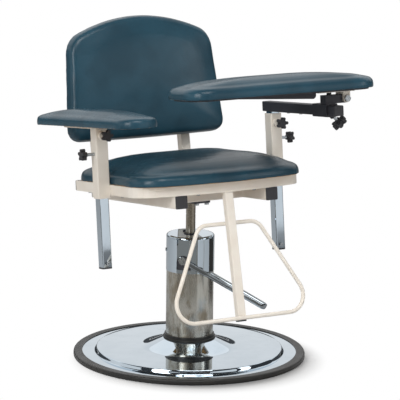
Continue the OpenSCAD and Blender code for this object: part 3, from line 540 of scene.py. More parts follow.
@dataclass(frozen=True)
class PumpSteel(Finish):
    """Plated pump tube, dulled by handling, with warm and bluish patches."""

    name: str = "pump_tube_plate"
    colour: Colour = linear("b9b8b1")
    warm: Colour = linear("8f8778")
    cold: Colour = linear("97a9b4")
    mark: Colour = linear("6d675c")
    clouds: Pattern = Pattern(32 * MM, 5.0, 0.62, (1, 1, 2.2))
    patches: Pattern = Pattern(50 * MM, 3.0, 0.5, (1, 1, 1.5), (0.2, 0, 0.6))
    streaks: Pattern = Pattern(2.4 * MM, 3.0, 0.5, (1, 1, 26))
    warm_at: Span = (0.42, 0.68)
    cold_at: Span = (0.52, 0.72)
    cold_share: float = 0.6
    mark_at: Span = (0.52, 0.8)
    mark_share: float = 0.25
    streak_relief: Span = (0.015 * MM, 0.4)
    streak_share: float = 0.4
    rough_at: Span = (0.35, 0.7)
    roughness: Span = (0.17, 0.36)

    def lay(self, board: Board) -> None:
        """Builds cloudy patches that run down the tube, and its turning marks."""
        at = board.place()
        cloud, streak = self.clouds.on(board, at), self.streaks.on(board, at)
        cold = self.patches.on(board, at).ease(*self.cold_at) * self.cold_share
        marks = streak.ease(*self.mark_at) * self.mark_share
        tone = board.mixed(cloud.ease(*self.warm_at), self.colour, self.warm)
        tone = board.mixed(cold, tone, self.cold)
        rough = cloud.blended(streak, self.streak_share).ease(*self.rough_at)
        board.surface(
            Base_Color=board.mixed(marks, tone, self.mark),
            Metallic=1.0,
            Roughness=rough.between(*self.roughness),
            Normal=board.bump(streak, *self.streak_relief),
        )


@dataclass(frozen=True)
class TurnedSteel(Finish):
    """Bare or zinc plated steel with fine turning marks."""

    name: str = "turned_steel"
    colour: Colour = linear("b4b6b6")
    shade: Colour = linear("8e9293")
    roughness: Span = (0.20, 0.36)
    marks: Pattern = Pattern(4 * MM, 3.0, 0.6, (1, 1, 0.12))
    spangle: float = 3.5 * MM
    spangle_at: Span = (0.1, 0.7)
    spangle_share: float = 0.7
    mark_relief: Span = (0.02 * MM, 0.4)
    rough_at: Span = (0.3, 0.7)

    def lay(self, board: Board) -> None:
        """Builds turning marks and plated spangle."""
        at = board.place()
        marks = self.marks.on(board, at)
        shaded = board.cells(at, self.spangle).ease(*self.spangle_at)
        tone = board.mixed(shaded * self.spangle_share, self.colour, self.shade)
        board.surface(
            Base_Color=tone,
            Metallic=1.0,
            Roughness=marks.ease(*self.rough_at).between(*self.roughness),
            Normal=board.bump(marks, *self.mark_relief),
        )


@dataclass(frozen=True)
class Dark(Finish):
    """Black paint, moulded plastic or rubber, by its numbers."""

    name: str = "black_paint"
    colour: Colour = (0.018, 0.018, 0.020)
    dust: Colour = (0.055, 0.053, 0.050)
    dust_share: float = 0.35
    roughness: Span = (0.30, 0.45)
    grain: Pattern = Pattern(1.2 * MM, 3.0, 0.6)
    bloom: Pattern = Pattern(30 * MM, 4.0, 0.6)
    dust_at: Span = (0.4, 0.75)
    grain_relief: Span = (0.06 * MM, 0.6)
    grain_share: float = 0.5
    rough_at: Span = (0.3, 0.7)

    def lay(self, board: Board) -> None:
        """Builds a grain and a light bloom of dust."""
        at = board.place()
        grain, bloom = self.grain.on(board, at), self.bloom.on(board, at)
        dusty = bloom.ease(*self.dust_at) * self.dust_share
        rough = bloom.blended(grain, self.grain_share).ease(*self.rough_at)
        board.surface(
            Base_Color=board.mixed(dusty, self.colour, self.dust),
            Roughness=rough.between(*self.roughness),
            Normal=board.bump(grain, *self.grain_relief),
        )


@dataclass(frozen=True)
class Plywood(Finish):
    """Birch plywood with long grain and dark pores."""

    name: str = "plywood_board"
    colour: Colour = linear("c49c69")
    grain: Colour = linear("9a7245")
    pore: Colour = linear("5f4325")
    waves: Pattern = Pattern(6 * MM, 4.0, 0.6, (9, 1, 1), (0, 0, 0.1))
    pores: Pattern = Pattern(1.2 * MM, 2.0, 0.5, (22, 1, 1), (0, 0, 0.1))
    grain_at: Span = (0.4, 0.65)
    pore_at: Span = (0.6, 0.75)
    pore_share: float = 0.5
    pore_relief: Span = (0.1 * MM, 0.5)
    roughness: Span = (0.5, 0.72)

    def lay(self, board: Board) -> None:
        """Builds face grain and pores."""
        at = board.place()
        waves, pores = self.waves.on(board, at), self.pores.on(board, at)
        tone = board.mixed(waves.ease(*self.grain_at), self.colour, self.grain)
        dark = pores.ease(*self.pore_at) * self.pore_share
        board.surface(
            Base_Color=board.mixed(dark, tone, self.pore),
            Roughness=waves.between(*self.roughness),
            Normal=board.bump(pores, *self.pore_relief),
        )


VINYL = Vinyl()
CREAM = PowderCoat()
CHROME = Chrome()
# A darker copy of the chrome, its wiped marks too: painted shade standing in for the
# dark reflections along the lever.
SHADED_LEVER_CHROME = Chrome("shaded_lever_chrome", (0.27, 0.30, 0.32), (0.16, 0.17, 0.18))
PUMP_STEEL = PumpSteel()
STEEL = TurnedSteel()
ZINC = TurnedSteel("zinc_plate", linear("c3c7ca"), linear("9ca3a8"), (0.22, 0.34))
RAM_STEEL = TurnedSteel("ram_steel", linear("a9a295"), linear("877f71"), (0.24, 0.40))
BLACK = Dark()
PLASTIC = Dark(
    name="black_plastic",
    colour=(0.014, 0.014, 0.015),
    dust=(0.04, 0.04, 0.04),
    dust_share=0.3,
    roughness=(0.42, 0.58),
)
RUBBER = Dark(
    name="black_rubber",
    colour=(0.009, 0.009, 0.008),
    dust=(0.028, 0.026, 0.022),
    dust_share=0.5,
    roughness=(0.32, 0.50),
    grain=Pattern(1.6 * MM, 3.0, 0.6),
)
PLY = Plywood()


def mesh_piece(
    name: str, points: np.ndarray, faces: Sequence[Sequence[int]]
) -> bpy.types.Object:
    """Makes a mesh object from points and faces.

    Args:
        name: The piece's name.
        points: Points in the shared frame.
        faces: Corner numbers of each face.

    Returns:
        The new object, linked to the scene.
    """
    mesh = bpy.data.meshes.new(name)
    mesh.from_pydata([tuple(p) for p in points], [], [tuple(f) for f in faces])
    mesh.update()
    made = bpy.data.objects.new(name, mesh)
    bpy.context.scene.collection.objects.link(made)
    return made


def tube_faces(rows: int, around: int, closed: bool = False) -> list[Face]:
    """Faces of a tube whose rings of points follow one another.

    Args:
        rows: Number of rings.
        around: Points in a ring, counter-clockwise as seen from the last ring.
        closed: Whether the last ring meets the first. If not, both ends get a face.

    Returns:
        The faces, which look outwards.
    """
    faces = []
    for i in range(rows if closed else rows - 1):
        low, high = i * around, (i + 1) % rows * around
        for j in range(around):
            k = (j + 1) % around
            faces.append((low + j, low + k, high + k, high + j))
    if not closed:
        faces.append(tuple(reversed(range(around))))
        faces.append(tuple(range((rows - 1) * around, rows * around)))
    return faces


def smooth(piece: bpy.types.Object, angle: float = SHARP_EDGE) -> None:
    """Shades a piece smooth but for edges sharper than an angle in degrees."""
    piece.data.shade_smooth()
    piece.data.set_sharp_from_angle(angle=math.radians(angle))


def paint(piece: bpy.types.Object, finish: Finish) -> None:
    """Gives a piece one finish in its only material slot."""
    piece.data.materials.clear()
    piece.data.materials.append(finish.material())


def coordinates(mesh: bpy.types.Mesh) -> np.ndarray:
    """The mesh's points as an array."""
    found = np.empty(len(mesh.vertices) * 3, np.float32)
    mesh.vertices.foreach_get("co", found)
    return found.reshape(-1, 3).astype(float)


def put(mesh: bpy.types.Mesh, points: np.ndarray) -> None:
    """Writes an array of points into the mesh."""
    mesh.vertices.foreach_set("co", points.astype(np.float32).ravel())
    mesh.update()


def report(piece: bpy.types.Object) -> None:
    """Logs a piece that was made here."""
    LOG.info("%s: %d faces", piece.name, len(piece.data.polygons))


class Neighbours:
    """The points of a mesh that share an edge with each of its points."""

    def __init__(self, mesh: bpy.types.Mesh) -> None:
        """Reads the mesh's edges."""
        ends = np.empty(len(mesh.edges) * 2, np.int32)
        mesh.edges.foreach_get("vertices", ends)
        self.edges = ends.reshape(-1, 2)
        self.count = np.bincount(ends, minlength=len(mesh.vertices))[:, None]

    def average(self, values: np.ndarray) -> np.ndarray:
        """Averages values over the neighbours of each point.

        Args:
            values: One row for each point.

        Returns:
            As many rows.
        """
        total = np.zeros_like(values)
        np.add.at(total, self.edges[:, 0], values[self.edges[:, 1]])
        np.add.at(total, self.edges[:, 1], values[self.edges[:, 0]])
        return total / np.maximum(self.count, 1)


@dataclass
class Framework:
    """What the chair's parts share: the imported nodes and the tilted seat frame."""

    nodes: Mapping[str, bpy.types.Object]
    seat_z: float = 432 * MM
    seat_lean: float = math.radians(7)
    back_y: float = 222.5 * MM
    back_lean: float = math.radians(5.5)
    bevel_steps: int = 4
    bevel_edge: float = math.radians(40)

    def seat(self) -> Matrix:
        """Places the seat's frame in the shared one."""
        return Matrix.Translation((0, 0, self.seat_z)) @ Matrix.Rotation(
            -self.seat_lean, 4, "X"
        )

    def back(self) -> Matrix:
        """Places the back's frame in the shared one."""
        return (
            self.seat()
            @ Matrix.Translation((0, self.back_y, 0))
            @ Matrix.Rotation(-self.back_lean, 4, "X")
        )

    def lying(self, board: str, turn: Matrix, lift: float = 0.0) -> Matrix:
        """Frame of a pad that lies on a packed board.

        Args:
            board: The board's node.
            turn: How the pad's frame is turned in the shared one.
            lift: How far the frame stands above the board's underside.

        Returns:
            The frame, with its origin under the middle of the pad.
        """
        turned = turn.to_3x3()
        points = np.array([v.co for v in self.nodes[board].data.vertices])
        own = points @ np.array(turned)
        low, high = own.min(0), own.max(0)
        middle = (low + high) / 2
        centre = Vector((middle[0], middle[1], low[2] + lift))
        return Matrix.Translation(turned @ centre) @ turn

    def round_off(self, width: float, *names: str) -> None:
        """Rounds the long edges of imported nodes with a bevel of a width."""
        for name in names:
            bevel = self.nodes[name].modifiers.new("rounded", "BEVEL")
            bevel.width = width
            bevel.segments = self.bevel_steps
            bevel.limit_method = "ANGLE"
            bevel.angle_limit = self.bevel_edge
            bevel.harden_normals = True

    def dress(self, finish: Finish, *names: str) -> None:
        """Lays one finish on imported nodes.

        Args:
            finish: The finish.
            names: The nodes that carry it.
        """
        for name in names:
            node = self.nodes[name]
            paint(node, finish)
            smooth(node)
            LOG.info("%s: %s", name, finish.name)


@dataclass(frozen=True)
class Lamp:
    """One soft lamp that faces the chair."""

    name: str
    place: Triple
    size: Span
    watts: float

    def hang(self, target: Vector) -> None:
        """Hangs the lamp, aimed at a point."""
        data = bpy.data.lights.new(self.name, "AREA")
        data.shape = "RECTANGLE"
        data.size, data.size_y = self.size
        data.energy = self.watts
        lamp = bpy.data.objects.new(self.name, data)
        bpy.context.scene.collection.objects.link(lamp)
        lamp.location = self.place
        lamp.rotation_mode = "QUATERNION"
        aim = target - Vector(self.place)
        lamp.rotation_quaternion = aim.to_track_quat("-Z", "Y")


@dataclass(frozen=True)
class Card:
    """A card that only shows in bright metal and gloss, bent round the pump.

    Its headings are in degrees right of the camera's side. Each long edge has a
    radius and a height.
    """

    name: str
    start: float
    end: float
    low: Span
    high: Span
    tone: Colour
    steps: int = 16

    def edges(self, base: float) -> list[Triple]:
        """Points of both long edges, from the heading of the camera's side."""
        turns = [
            base + math.radians(self.start + (self.end - self.start) * i / self.steps)
            for i in range(self.steps + 1)
        ]
        return [
            (radius * math.cos(t), radius * math.sin(t), z)
            for radius, z in (self.low, self.high)
            for t in turns
        ]

    def stand(self, base: float) -> None:
        """Sets the card up.

        Args:
            base: Heading of the camera's side, in radians.
        """
        points = self.edges(base)
        half = len(points) // 2
        faces = [(i, i + 1, half + i + 1, half + i) for i in range(half - 1)]
        piece = mesh_piece(self.name, np.array(points), faces)
        material = bpy.data.materials.new(self.name + "_tone")
        board = Board(material)
        board.end(board.shader("Emission", Color=self.tone, Strength=1.0))
        piece.data.materials.append(material)
        piece.visible_camera = False
        piece.visible_diffuse = False
        piece.visible_shadow = False
        piece.visible_transmission = False


DARK_CARD = (0.05, 0.055, 0.06)
BROWN_CARD = (0.10, 0.08, 0.065)
WARM_CARD = (0.05, 0.045, 0.04)
LAMPS = (
    Lamp("lamp_top", (-0.5, -1.7, 3.3), (2.0, 1.4), 57.0),
    Lamp("lamp_left", (-3.0, -1.4, 2.1), (1.2, 1.8), 54.0),
    Lamp("lamp_right", (2.6, -2.6, 1.7), (0.9, 1.6), 14.0),
)
CARDS = (
    Card("card_floor", -66, 34, (0.62, 0.004), (6.0, 0.004), (0.30, 0.29, 0.27)),
    Card("card_floor_right", 100, 142, (0.62, 0.004), (3.0, 0.004), WARM_CARD),
    Card("card_left", -62, -37, (8.0, 0.0), (8.0, 4.4), DARK_CARD),
    Card("card_middle", -11, 27, (8.0, 0.0), (8.0, 4.4), BROWN_CARD),
    Card("card_right", 62, 120, (8.0, 0.0), (8.0, 4.4), DARK_CARD),
    Card("card_over", -100, 100, (0.01, 4.4), (8.0, 4.4), DARK_CARD),
    Card("card_over_rear", 100, 260, (0.01, 8.0), (5.0, 8.0), (0.12, 0.13, 0.14)),
    Card("card_rear", 95, 265, (12.0, 0.0), (12.0, 2.3), (0.07, 0.075, 0.08)),
    Card("card_back", 100, 260, (9.0, 4.4), (5.0, 8.0), (1.25, 1.25, 1.25)),
)


@dataclass
class Studio:
    """Camera, floor, surround, lamps and the cards that bright metal reflects."""

    azimuth: float = math.radians(28.687)
    distance: float = 6.56825
    height: float = 1.77837
    pitch: float = math.radians(11.8607)
    yaw: float = math.radians(0.19756)
    roll: float = math.radians(0.7471)
    focal_px: float = 2685.44
    frame_px: float = 400.0
    sensor_mm: float = 36.0
    clip: Span = (0.1, 100.0)
    world_strength: float = 0.38
    aim: Triple = (0, 0, 0.45)
    floor_half: float = 40.0
    # Painted shadow: the floor's darker colour near the base, and the reach over which
    # it fades.
    painted_shadow_tone: Colour = (0.26, 0.26, 0.26)
    floor_far: Colour = (0.72, 0.72, 0.72)
    shadow_ahead: float = 0.045
    shadow_aside: float = 0.022
    painted_shadow_reach: Span = (0.235, 0.290)
    white_reach: Span = (0.258, 0.330)

    def camera(self) -> None:
        """Sets the camera at the photograph's place."""
        data = bpy.data.cameras.new("view")
        camera = bpy.data.objects.new("view", data)
        bpy.context.scene.collection.objects.link(camera)
        bpy.context.scene.camera = camera
        data.sensor_width = self.sensor_mm
        data.lens = self.focal_px / self.frame_px * self.sensor_mm
        data.clip_start, data.clip_end = self.clip
        heading = self.azimuth + self.yaw
        flat = Vector((math.sin(heading), math.cos(heading), 0))
        forward = flat * math.cos(self.pitch) - Vector((0, 0, math.sin(self.pitch)))
        right = Vector((math.cos(heading), -math.sin(heading), 0))
        up = right.cross(forward)
        across = right * math.cos(self.roll) + up * math.sin(self.roll)
        upright = up * math.cos(self.roll) - right * math.sin(self.roll)
        turn = Matrix((across, upright, -forward)).transposed().to_4x4()
        place = self.ahead(self.distance) + Vector((0, 0, self.height))
        camera.matrix_world = Matrix.Translation(place) @ turn

    def ahead(self, way: float) -> Vector:
        """A point on the floor, some way from the pump towards the camera."""
        return Vector((-math.sin(self.azimuth), -math.cos(self.azimuth), 0)) * way

    def aside(self, way: float) -> Vector:
        """A point on the floor, some way from the pump towards the camera's right."""
        return Vector((math.cos(self.azimuth), -math.sin(self.azimuth), 0)) * way

    def floor(self) -> None:
        """Lays a pale floor that keeps the chair's shadow near the base, deepened there
        by a painted shadow.
        """
        corners = ((-1, -1, 0), (1, -1, 0), (1, 1, 0), (-1, 1, 0))
        points = np.array(corners) * self.floor_half
        piece = mesh_piece("floor", points, [(0, 1, 2, 3)])
        material = bpy.data.materials.new("pale_floor")
        board = Board(material)
        x, y, _ = board.parts(board.place())
        nearer = self.ahead(self.shadow_ahead) + self.aside(self.shadow_aside)
        across, along = x - nearer.x, y - nearer.y
        reach = (across * across + along * along) ** 0.5
        seen = board.node("ShaderNodeLightPath")
        far = reach.ease(*self.white_reach) * Wire(board, seen.outputs["Is Camera Ray"])
        # Painted shadow: the floor's matt colour darkens towards the base, off-centre
        # towards the camera.
        out_of_painted_shadow = reach.ease(*self.painted_shadow_reach)
        tone = board.mixed(out_of_painted_shadow, self.painted_shadow_tone, self.floor_far)
        matt = board.shader(
            "BsdfPrincipled", Base_Color=tone, Roughness=1.0, Specular_IOR_Level=0.0
        )
        glow = board.shader("Emission", Color=WHITE, Strength=1.0)
        mixed = board.node("ShaderNodeMixShader", None, {0: far, 1: matt, 2: glow})
        board.end(mixed.outputs[0])
        piece.data.materials.append(material)

    def world(self) -> None:
        """Sets an even white surround, plain white where it is seen."""
        world = bpy.data.worlds.new("surround")
        bpy.context.scene.world = world
        board = Board(world)
        path = board.node("ShaderNodeLightPath")
        camera, gloss, glass = (
            Wire(board, path.outputs[f"Is {ray} Ray"])
            for ray in ("Camera", "Glossy", "Transmission")
        )
        strength = camera.most(gloss).most(glass).between(self.world_strength, 1.0)
        board.end(board.shader("Background", Color=WHITE, Strength=strength), "World")

    def build(self) -> None:
        """Sets up everything round the chair but the camera."""
        self.floor()
        self.world()
        for lamp in LAMPS:
            lamp.hang(Vector(self.aim))
        for card in CARDS:
            card.stand(math.radians(-90) - self.azimuth)
        LOG.info("studio: camera, floor, lamps and cards")


@dataclass(frozen=True)
class BowedOutline:
    """Outline of the seat's and back's cushions: bowed front, rounded corners."""

    half: float
    front: float
    rear: float
    bow: float
    bend: float
    corner: float
    pull: float
    rear_pull: float
    taper: float = 1.0
    height: float = 1.0
    corner_steps: int = 10
    bow_steps: int = 30
    side_steps: int = 14
    rear_steps: int = 18

    def points(self, inset: float) -> np.ndarray:
        """Points of the outline, counter-clockwise.

        Args:
            inset: How far inside the outline they lie.

        Returns:
            Points in the cushion's plane.
        """
        x, middle = self.half - self.bend, self.bow - self.front
        y = middle - math.sqrt((self.bow - self.bend) ** 2 - x**2)
        a = math.acos(x / (self.bow - self.bend))
        q, r = self.half - self.corner, self.rear - self.corner
        wide, far = self.half - inset, self.rear - inset
        bend, bow, corner = self.bend - inset, self.bow - inset, self.corner - inset
        n, turn = self.corner_steps, math.pi
        made = [
            arc(-x, y, bend, turn, turn + a, n),
            arc(0, middle, bow, turn + a, 2 * turn - a, self.bow_steps),
            arc(x, y, bend, -a, 0, n),
            drawn((wide, y), (wide, r), self.pull, self.side_steps),
            arc(q, r, corner, 0, turn / 2, n),
            drawn((q, far), (-q, far), self.rear_pull, self.rear_steps),
            arc(-q, r, corner, turn / 2, turn, n),
            drawn((-wide, r), (-wide, y), self.pull, self.side_steps),
        ]
        found = np.concatenate(made)
        found[:, 0] *= 1 - (1 - self.taper) * (0.5 - found[:, 1] / self.height)
        return found


@dataclass(frozen=True)
class LongOutline:
    """Outline of an armrest's cushion: straight sides and round corners."""

    length: float
    width: float
    corner: float
    pull: float
    corner_steps: int = 12
    side_steps: int = 24

    def points(self, inset: float) -> np.ndarray:
        """Points of the outline, counter-clockwise.

        Args:
            inset: How far inside the outline they lie.

        Returns:
            Points in the cushion's plane.
        """
        x, y = self.length / 2 - self.corner, self.width / 2 - self.corner
        r, w = self.corner - inset, self.width / 2 - inset
        n, turn = self.corner_steps, math.pi / 2
        made = [
            arc(x, -y, r, -turn, 0, n),
            arc(x, y, r, 0, turn, n),
            drawn((x, w), (-x, w), self.pull, self.side_steps),
            arc(-x, y, r, turn, 2 * turn, n),
            arc(-x, -y, r, 2 * turn, 3 * turn, n),
            drawn((-x, -w), (x, -w), self.pull, self.side_steps),
        ]
        return np.concatenate(made)


def arc(
    x: float, y: float, r: float, start: float, end: float, steps: int
) -> np.ndarray:
    """Points of an arc, both ends included.

    Args:
        x: The centre's first coordinate.
        y: Its second coordinate.
        r: The radius.
        start: Heading of the first point, in radians.
        end: Heading of the last point.
        steps: Number of steps between them.

    Returns:
        The points.
    """
    t = np.linspace(start, end, steps + 1)
    return np.stack([x + r * np.cos(t), y + r * np.sin(t)], 1)


def drawn(a: Span, b: Span, pull: float, steps: int) -> np.ndarray:
    """Points between two ends of a side that is drawn in at its middle.

    Args:
        a: The first end, which isn't returned.
        b: The last end, which isn't returned.
        pull: How far the middle is drawn in.
        steps: Number of steps between the ends.

    Returns:
        The points.
    """
    first, last = np.array(a), np.array(b)
    t = np.arange(1, steps)[:, None] / steps
    along = last - first
    across = np.array([-along[1], along[0]]) / np.linalg.norm(along)
    return first + along * t + across * pull * np.sin(np.pi * t)


@dataclass(frozen=True)
class ClothRun:
    """Settings of the cloth that fills a cushion out under pressure."""

    frames: int = 20
    quality: int = 5
    mass: float = 0.3
    stretch: float = 12.0
    shear: float = 6.0
    bending: float = 1.5
    pressure: float = 4.0
    pin: float = 1.0
    held: float = 3 * MM
    rounds: int = 40

    def fit(self, piece: bpy.types.Object, held: str) -> None:
        """Puts the cloth on a piece whose held points are in a vertex group."""
        cloth = piece.modifiers.new("fill", "CLOTH")
        settings = cloth.settings
        settings.quality = self.quality
        settings.mass = self.mass
        settings.tension_stiffness = self.stretch
        settings.compression_stiffness = self.stretch
        settings.shear_stiffness = self.shear
        settings.bending_stiffness = self.bending
        settings.use_pressure = True
        settings.uniform_pressure_force = self.pressure
        settings.effector_weights.gravity = 0.0
        settings.vertex_group_mass = held
        settings.pin_stiffness = self.pin
        cloth.collision_settings.use_collision = False


@dataclass(frozen=True)
class Gathers:
    """Sizes of the small pleats round a cushion's lower corners.

    They come in two waves, and are as deep as the outline is bent. The bend is full
    at tight turns of the heading for each metre.
    """

    depth: float = 0.5 * MM
    wave: float = 15 * MM
    fine_wave: float = 8.3 * MM
    fine_share: float = 0.5
    fine_start: float = 1.7
    tight: float = 30.0
    apart: int = 2
    reach: float = 0.62
    skin: float = 4 * MM
    foot: float = 1.5 * MM
    batch: int = 4000

    def tightness(self, ring: np.ndarray, step: np.ndarray) -> np.ndarray:
        """How much the outline bends at each point, from zero to one.

        Args:
            ring: Points of the outline.
            step: Length from each to the next.

        Returns:
            One number for each point.
        """
        heading = np.arctan2(*(np.roll(ring, -1, 0) - np.roll(ring, 1, 0)).T[::-1])
        turn = np.roll(heading, -self.apart) - np.roll(heading, self.apart)
        bend = np.abs(np.angle(np.exp(1j * turn)))
        bend = bend / np.maximum(np.roll(step, 1) + step, 1e-6)
        return np.clip(bend / self.tight, 0, 1)

    def nearest(self, points: np.ndarray, ring: np.ndarray) -> np.ndarray:
        """Number of the outline's point that is nearest to each point."""
        near = np.empty(len(points), int)
        for i in range(0, len(points), self.batch):
            gap = points[i : i + self.batch, None, :2] - ring[None]
            near[i : i + self.batch] = np.argmin((gap**2).sum(2), 1)
        return near

    def ripple(self, along: np.ndarray) -> np.ndarray:
        """Height of both waves at lengths along the outline."""
        wave = np.sin(along / self.wave * 2 * math.pi)
        fine = np.sin(along / self.fine_wave * 2 * math.pi + self.fine_start)
        return wave + self.fine_share * fine


@dataclass
class Cushion:
    """A foam pad under stretched vinyl, filled out by a short cloth run.

    Each entry of sides is a share of the side's height, and how far in the side lies
    there as a share of the rounding. The crown's rings are shares of the outline.
    """

    name: str
    node: str
    body: str
    place: Matrix
    outline: Union[BowedOutline, LongOutline]
    height: float
    edge: float
    rounding: float
    hollow: float = 0.0
    hollow_from: float = 2.5 * MM
    rim: float = 9 * MM
    underside: float = 1 * MM
    fill: float = 0.8
    voxel: float = 5.5 * MM
    slack: float = 1.6 * MM
    slack_rate: float = 5.0
    swell: float = 3.2 * MM
    crown_power: float = 2.5
    below: float = 7 * MM
    sides: tuple[Span, ...] = (
        (0.0, 0.16), (0.05, 0.09), (0.1, 0.05), (0.2, 0.01), (0.34, 0.0),
        (0.5, 0.015), (0.6, 0.04), (0.72, 0.11), (0.8, 0.2), (0.88, 0.34),
        (0.94, 0.52), (0.98, 0.76), (1.0, 1.0),
    )
    crown: tuple[float, ...] = (0.96, 0.9, 0.82, 0.72, 0.6, 0.46, 0.3, 0.15)
    even_weights: Span = (0.5, -0.52)
    even_rounds: int = 3
    even_above: float = 2 * MM
    cloth: ClothRun = ClothRun()
    gathers: Gathers = Gathers()

    def rings(self) -> np.ndarray:
        """Rings of the plain crowned body in its own frame.

        Returns:
            An array of rings, points and three numbers.
        """
        foot = self.outline.points(self.sides[0][1] * self.rounding)
        found = [np.c_[foot, np.full(len(foot), -self.below)]]
        top = self.edge - self.slack
        for rise, inset in self.sides:
            loose = self.slack * min(1.0, rise * self.slack_rate)
            flat = self.outline.points(loose + inset * self.rounding)
            found.append(np.c_[flat, np.full(len(flat), top * rise)])
        last = found[-1][:, :2]
        for share in self.crown:
            rise = (self.height - self.edge) * (1 - share**self.crown_power)
            found.append(np.c_[last * share, np.full(len(last), top + rise)])
        return np.array(found)

    def shell(self) -> bpy.types.Object:
        """The plain closed body as a mesh object in the cushion's own frame."""
        rings = self.rings()
        count, around = rings.shape[:2]
        ends = [(0, 0, self.height - self.slack)], [(0, 0, -self.below)]
        points = np.concatenate([rings.reshape(-1, 3), *ends])
        tip, foot = count * around, count * around + 1
        faces = []
        for j in range(around):
            k = (j + 1) % around
            for i in range(count - 1):
                a, b = i * around, (i + 1) * around
                faces.append((a + j, a + k, b + k, b + j))
            faces.append(((count - 1) * around + j, (count - 1) * around + k, tip))
            faces.append((k, j, foot))
        return mesh_piece(self.name, points, faces)

    def remesh(self, piece: bpy.types.Object) -> None:
        """Gives the body an even mesh of small faces."""
        step = piece.modifiers.new("even", "REMESH")
        step.mode = "VOXEL"
        step.voxel_size = self.voxel
        step.adaptivity = 0.0
        self.bake(piece)
        points = coordinates(piece.data)
        points[:, 2] = np.maximum(points[:, 2], 0.0)
        put(piece.data, points)

    @staticmethod
    def bake(piece: bpy.types.Object) -> None:
        """Writes what the piece's modifiers make into its mesh."""
        graph = bpy.context.evaluated_depsgraph_get()
        made = bpy.data.meshes.new_from_object(piece.evaluated_get(graph))
        piece.modifiers.clear()
        old = piece.data
        piece.data = made
        bpy.data.meshes.remove(old)

    def inflate(self, piece: bpy.types.Object) -> None:
        """Fills the body out with cloth under pressure, held at its foot.

        Args:
            piece: The evenly meshed body, in its own frame.
        """
        rest = coordinates(piece.data)
        held = np.nonzero(rest[:, 2] < self.cloth.held)[0]
        group = piece.vertex_groups.new(name="held")
        group.add([int(i) for i in held], 1.0, "REPLACE")
        self.cloth.fit(piece, group.name)
        scene = bpy.context.scene
        for frame in range(1, self.cloth.frames + 1):
            scene.frame_set(frame)
        graph = bpy.context.evaluated_depsgraph_get()
        found = coordinates(piece.evaluated_get(graph).data)
        piece.modifiers.clear()
        piece.vertex_groups.clear()
        scene.frame_set(1)
        move = found - rest
        length = np.linalg.norm(move, axis=1)
        share = np.minimum(1.0, self.swell / np.maximum(length, 1e-9))
        LOG.info("%s: cloth moved %.1f mm at most", self.name, length.max() / MM)
        move *= share[:, None]
        free = (rest[:, 2] > self.cloth.held)[:, None]
        around = Neighbours(piece.data)
        for _ in range(self.cloth.rounds):
            move = free * (move + around.average(move)) / 2
        put(piece.data, rest + move)

    def relax(self, piece: bpy.types.Object) -> None:
        """Evens out small steps of the mesh, and leaves its foot alone."""
        points = coordinates(piece.data)
        around = Neighbours(piece.data)
        free = (points[:, 2] > self.even_above)[:, None]
        for weight in self.even_weights * self.even_rounds:
            points = points + free * weight * (around.average(points) - points)
        put(piece.data, points)

    def gather(self, points: np.ndarray) -> np.ndarray:
        """Small pleats where the vinyl is gathered round the lower corners.

        Args:
            points: Points in the cushion's own frame.

        Returns:
            The points with the pleats.
        """
        sizes = self.gathers
        ring = self.outline.points(0.0)
        step = np.linalg.norm(np.roll(ring, -1, 0) - ring, axis=1)
        along = np.concatenate([[0.0], np.cumsum(step)[:-1]])
        near = sizes.nearest(points, ring)
        flat, rise = points[:, :2], points[:, 2]
        low = np.clip(1 - rise / (self.edge * sizes.reach), 0, 1)
        gap = np.linalg.norm(flat - ring[near], axis=1)
        skin = np.clip(1 - gap / (self.rounding + sizes.skin), 0, 1)
        skin = skin * (rise > sizes.foot)
        tight = sizes.tightness(ring, step)[near]
        depth = sizes.depth * tight * low * skin * sizes.ripple(along[near])
        inward = -flat / np.maximum(np.linalg.norm(flat, axis=1), 1e-6)[:, None]
        moved = points.copy()
        moved[:, :2] += inward * depth[:, None]
        return moved

    def raise_foot(self, points: np.ndarray) -> np.ndarray:
        """Lifts the underside's middle, so that the board shows in a rim of vinyl.

        Args:
            points: Points in the cushion's own frame.

        Returns:
            The points with the lifted middle.
        """
        if not self.hollow:
            return points
        ring = self.outline.points(0.0)
        moved = points.copy()
        for i in np.nonzero(points[:, 2] < self.underside)[0]:
            gap = np.min(np.linalg.norm(ring - points[i, :2], axis=1))
            share = min(1.0, max(0.0, (gap - self.hollow_from) / self.rim))
            moved[i, 2] += self.hollow * share
        return moved

    def build(self) -> bpy.types.Object:
        """Makes the finished cushion.

        Returns:
            The piece, riding on its body.
        """
        piece = self.shell()
        self.remesh(piece)
        self.inflate(piece)
        self.relax(piece)
        points = coordinates(piece.data)
        put(piece.data, self.raise_foot(self.gather(points)))
        piece.data.transform(self.place)
        fine = piece.modifiers.new("fine", "SUBSURF")
        fine.levels = fine.render_levels = 1
        piece.data.shade_smooth()
        paint(piece, VINYL)
        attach(piece, self.body)
        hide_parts(self.node)
        report(piece)
        return piece


